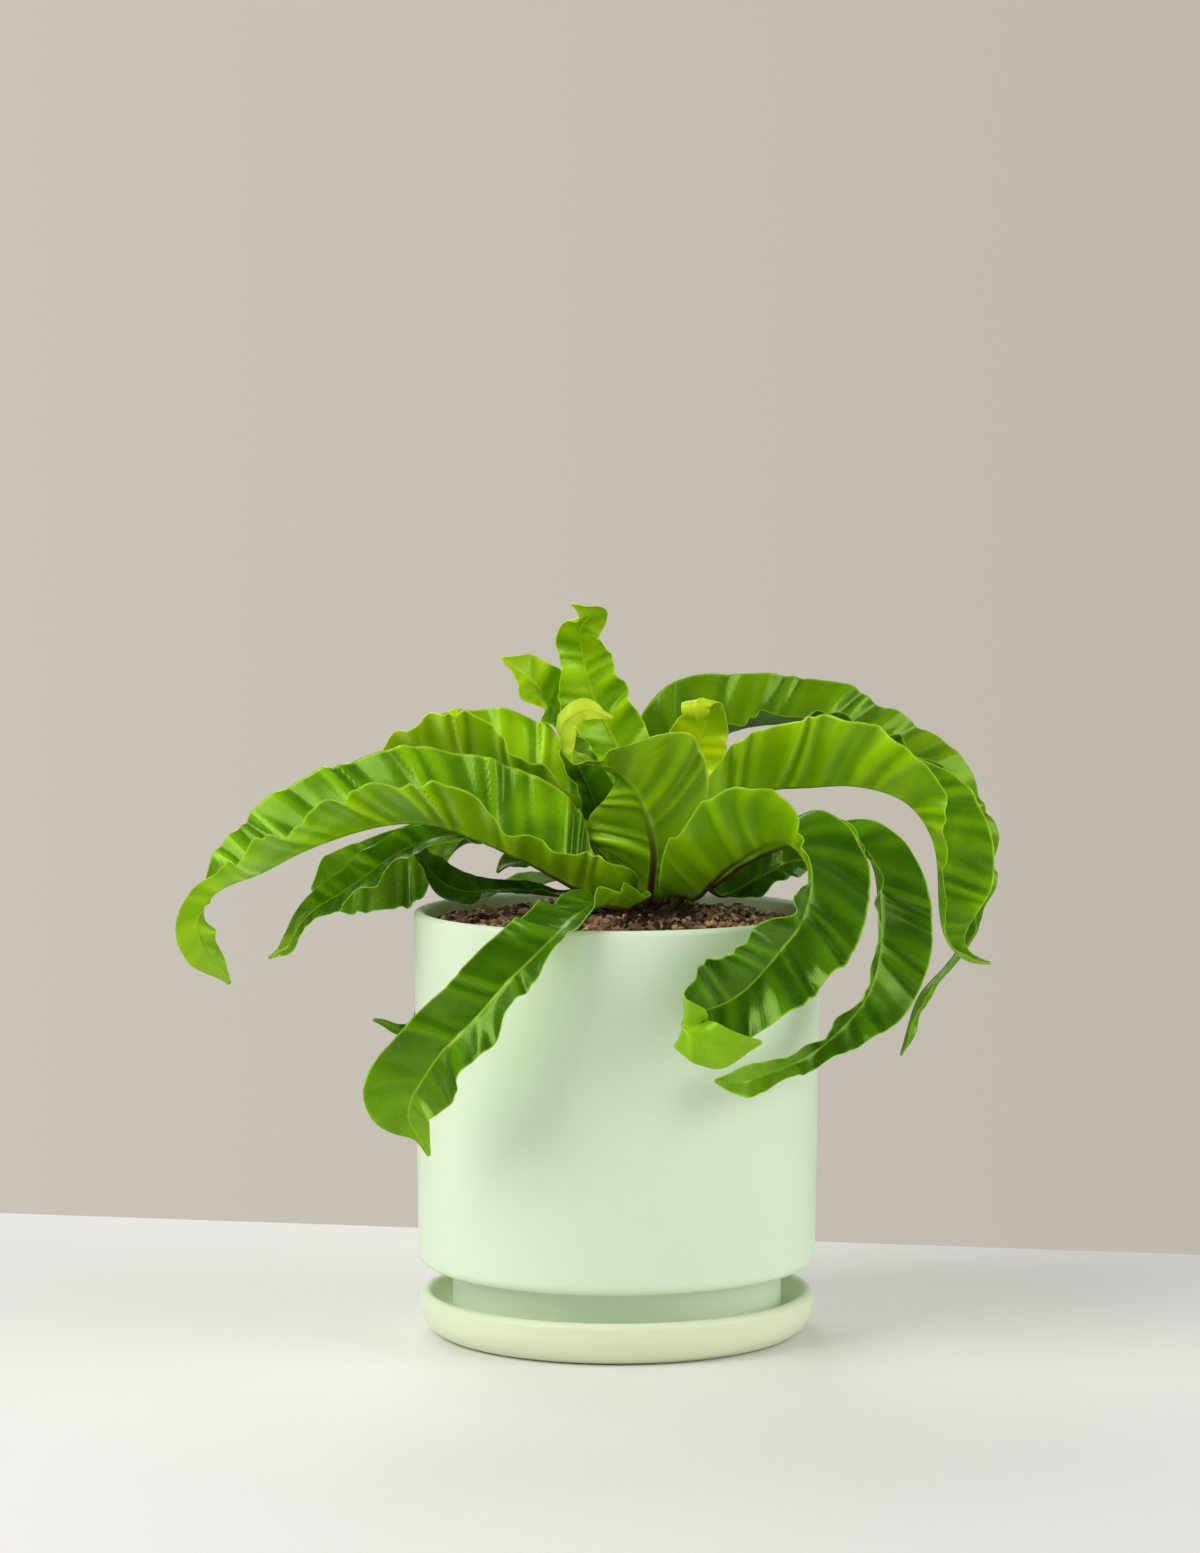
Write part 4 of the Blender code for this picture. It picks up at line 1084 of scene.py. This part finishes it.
CERAMIC = srgb(222, 238, 212)
CERAMIC_WARM = srgb(223, 237, 209)
SAUCER = srgb(224, 234, 203)
SAUCER_WARM = srgb(226, 234, 201)
SOIL_DARK = srgb(58, 34, 22)
SOIL_LIGHT = srgb(204, 156, 122)
SCALE_DARK = srgb(40, 26, 15)
SCALE_LIGHT = srgb(96, 66, 40)
TABLE = srgb(238, 236, 232)
# The wall behind: a painted light falloff, lighter on the left and darker on the right
WALL_LIT_LEFT = srgb(203, 197, 186)
WALL_SHADED_RIGHT = srgb(191, 184, 172)

# Each leaf's deep and light tone above, the same below, veins, keel, tip, where the tip starts
# and its roughness. Deep and light mix by random mottling and by painted shade in valleys and painted
# highlight on crests.
LEAVES = {
    "young": ((srgb(184, 218, 0), srgb(226, 248, 10)), (srgb(164, 202, 0), srgb(214, 240, 12)),
              srgb(222, 238, 90), srgb(96, 112, 20), srgb(214, 234, 50), 0.8, 0.3),
    "tender": ((srgb(92, 140, 0), srgb(168, 212, 0)), (srgb(84, 128, 0), srgb(168, 212, 0)),
               srgb(196, 220, 60), srgb(62, 34, 24), srgb(214, 234, 60), 0.5, 0.28),
    "fresh": ((srgb(108, 160, 0), srgb(190, 230, 0)), (srgb(124, 174, 0), srgb(200, 236, 0)),
              srgb(206, 228, 64), srgb(66, 44, 26), srgb(186, 218, 30), 0.8, 0.28),
    "bright": ((srgb(44, 98, 0), srgb(138, 194, 0)), (srgb(94, 146, 0), srgb(176, 220, 0)),
               srgb(184, 216, 50), srgb(66, 44, 26), srgb(136, 174, 34), 0.8, 0.26),
    "middle": ((srgb(28, 70, 0), srgb(88, 142, 0)), (srgb(100, 154, 0), srgb(166, 212, 0)),
               srgb(158, 200, 44), srgb(62, 34, 26), srgb(132, 180, 30), 0.75, 0.24),
    "old": ((srgb(58, 100, 0), srgb(124, 168, 0)), (srgb(54, 98, 0), srgb(112, 156, 0)),
            srgb(146, 184, 40), srgb(58, 36, 24), srgb(108, 150, 20), 0.8, 0.26),
    "dark": ((srgb(26, 62, 0), srgb(70, 118, 0)), (srgb(50, 96, 0), srgb(104, 152, 4)),
             srgb(120, 160, 50), srgb(54, 34, 24), srgb(82, 126, 18), 0.8, 0.25),
}
AGES = {
    "frond_scroll": "young",
    "frond_center": "tender",
    "frond_top": "fresh",
    "frond_top_left": "fresh",
    "frond_upper_left": "fresh",
    "frond_right_upper": "bright",
    "frond_left_long": "bright",
    "frond_left_low": "bright",
    "frond_back_right": "old",
    "frond_left_back": "old",
    "frond_left_rim": "dark",
    "frond_left_short": "dark",
    "frond_right_low": "dark",
    "frond_rear_low_left": "dark",
}


def build():
    """Every piece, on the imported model's nodes, and then the stage and its light."""

    def place(piece, node=None, slot=None):
        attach(piece, "root")
        if node:
            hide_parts(node)

    make_camera()
    leaves = {age: blade_material("leaf_" + age, *tones) for age, tones in LEAVES.items()}
    for name, frond in FRONDS.items():
        mesh = frond_mesh(name + "_leaf", frond, name)
        mesh.materials.append(leaves[AGES.get(name, "middle")])
        place(add(name + "_leaf", mesh), name)

    pot = turned("pot_body", pot_profile(), True, ceramic_material("pot_glaze", CERAMIC, CERAMIC_WARM))
    place(pot, "pot")
    saucer_look = ceramic_material("saucer_glaze", SAUCER, SAUCER_WARM)
    place(turned("saucer_dish", saucer_profile(), False, saucer_look), "saucer")
    mix = soil_material("mix", SOIL_DARK, SOIL_LIGHT)
    place(make_soil(mix), "soil")
    place(make_grains(mix, GRAINS), slot="soil")
    scales = soil_material("scales", SCALE_DARK, SCALE_LIGHT)
    place(make_crown(scales), "crown")
    place(make_scales(scales, SCALES), slot="crown")

    make_stage()
    make_world()
    make_lights()


def make_camera():
    camera = add("camera", bpy.data.cameras.new("camera"))
    camera.location = CAMERA_PLACE
    camera.rotation_euler = (math.radians(90) - CAMERA_DOWN, 0.0, 0.0)
    camera.data.lens = CAMERA_LENS
    camera.data.sensor_width = CAMERA_SENSOR
    bpy.context.scene.camera = camera


def make_stage():
    """A pale tabletop that ends a little way behind the saucer."""
    mesh = bpy.data.meshes.new("tabletop")
    body = bmesh.new()
    bmesh.ops.create_cube(body, size=1.0)
    bmesh.ops.scale(body, verts=body.verts, vec=TABLE_SIZE)
    bmesh.ops.translate(body, verts=body.verts, vec=(0.0, -TABLE_SIZE[1] / 2, -TABLE_SIZE[2] / 2))
    body.to_mesh(mesh)
    body.free()
    mesh.materials.append(stage_material("tabletop", TABLE))
    table = add("tabletop", mesh)
    table.location = (0.0, TABLE_BACK, 0.0)
    table.rotation_euler = (0.0, 0.0, TABLE_TURN)
    soft = table.modifiers.new("Edge", "BEVEL")
    soft.width = 0.002
    soft.segments = 3


def area_light(name, place, size, power, color):
    """A rectangular light that faces the plant."""
    light = bpy.data.lights.new(name, "AREA")
    light.shape = "RECTANGLE"
    light.size, light.size_y = size
    light.energy = power
    light.color = color
    obj = add(name, light)
    obj.location = place
    obj.rotation_euler = (Vector(LIT_PLACE) - Vector(place)).to_track_quat("-Z", "Y").to_euler()


def make_world():
    """A warm grey wall for the camera, painted lighter on the left and darker on the right as a painted
    light falloff, and a dimmer room for the light and the reflections.
    """
    world = bpy.data.worlds.new("studio")
    bpy.context.scene.world = world
    world.use_nodes = True
    tree = world.node_tree
    link = tree.links.new
    new = tree.nodes.new
    wall = tree.nodes["Background"]
    wall.inputs["Strength"].default_value = 1.0
    place = new("ShaderNodeTexCoord")
    split = new("ShaderNodeSeparateXYZ")
    link(place.outputs["Generated"], split.inputs[0])
    across = new("ShaderNodeMapRange")
    across.inputs["From Min"].default_value = -WALL_SPAN
    across.inputs["From Max"].default_value = WALL_SPAN
    link(split.outputs["X"], across.inputs["Value"])
    # Painted light falloff across the wall: lighter on the left, darker on the right
    shade = new("ShaderNodeMix")
    shade.data_type = "RGBA"
    shade.inputs[6].default_value = (*WALL_LIT_LEFT, 1.0)
    shade.inputs[7].default_value = (*WALL_SHADED_RIGHT, 1.0)
    link(across.outputs["Result"], shade.inputs[0])
    link(shade.outputs[2], wall.inputs["Color"])
    room = new("ShaderNodeBackground")
    room.inputs["Color"].default_value = (1.0, 0.99, 0.97, 1.0)
    room.inputs["Strength"].default_value = ROOM_LIGHT
    dim = new("ShaderNodeBackground")
    dim.inputs["Color"].default_value = (1.0, 1.0, 1.0, 1.0)
    dim.inputs["Strength"].default_value = ROOM_REFLECTED
    sight = new("ShaderNodeLightPath")
    glossy = new("ShaderNodeMixShader")
    link(sight.outputs["Is Glossy Ray"], glossy.inputs[0])
    link(room.outputs[0], glossy.inputs[1])
    link(dim.outputs[0], glossy.inputs[2])
    choose = new("ShaderNodeMixShader")
    link(sight.outputs["Is Camera Ray"], choose.inputs[0])
    link(glossy.outputs[0], choose.inputs[1])
    link(wall.outputs[0], choose.inputs[2])
    link(choose.outputs[0], tree.nodes["World Output"].inputs["Surface"])


def make_lights():
    area_light("key", (-1.9, -1.1, 1.7), (1.8, 1.8), 50.0, (1.0, 0.99, 0.975))
    area_light("fill", (2.1, -0.8, 1.0), (1.7, 1.4), 27.0, (0.98, 0.99, 1.0))
    area_light("back", (-0.5, 1.7, 1.5), (1.3, 0.9), 13.0, (1.0, 1.0, 0.99))
    view = bpy.context.scene.view_settings
    view.view_transform = "Standard"
    view.look = "None"
    view.exposure = 0.0


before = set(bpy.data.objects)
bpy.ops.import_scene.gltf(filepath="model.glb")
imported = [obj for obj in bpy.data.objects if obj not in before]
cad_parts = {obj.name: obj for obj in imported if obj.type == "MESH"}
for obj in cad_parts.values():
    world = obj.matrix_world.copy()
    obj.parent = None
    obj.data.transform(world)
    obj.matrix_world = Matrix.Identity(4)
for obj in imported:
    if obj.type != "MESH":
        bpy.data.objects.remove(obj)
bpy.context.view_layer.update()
build()
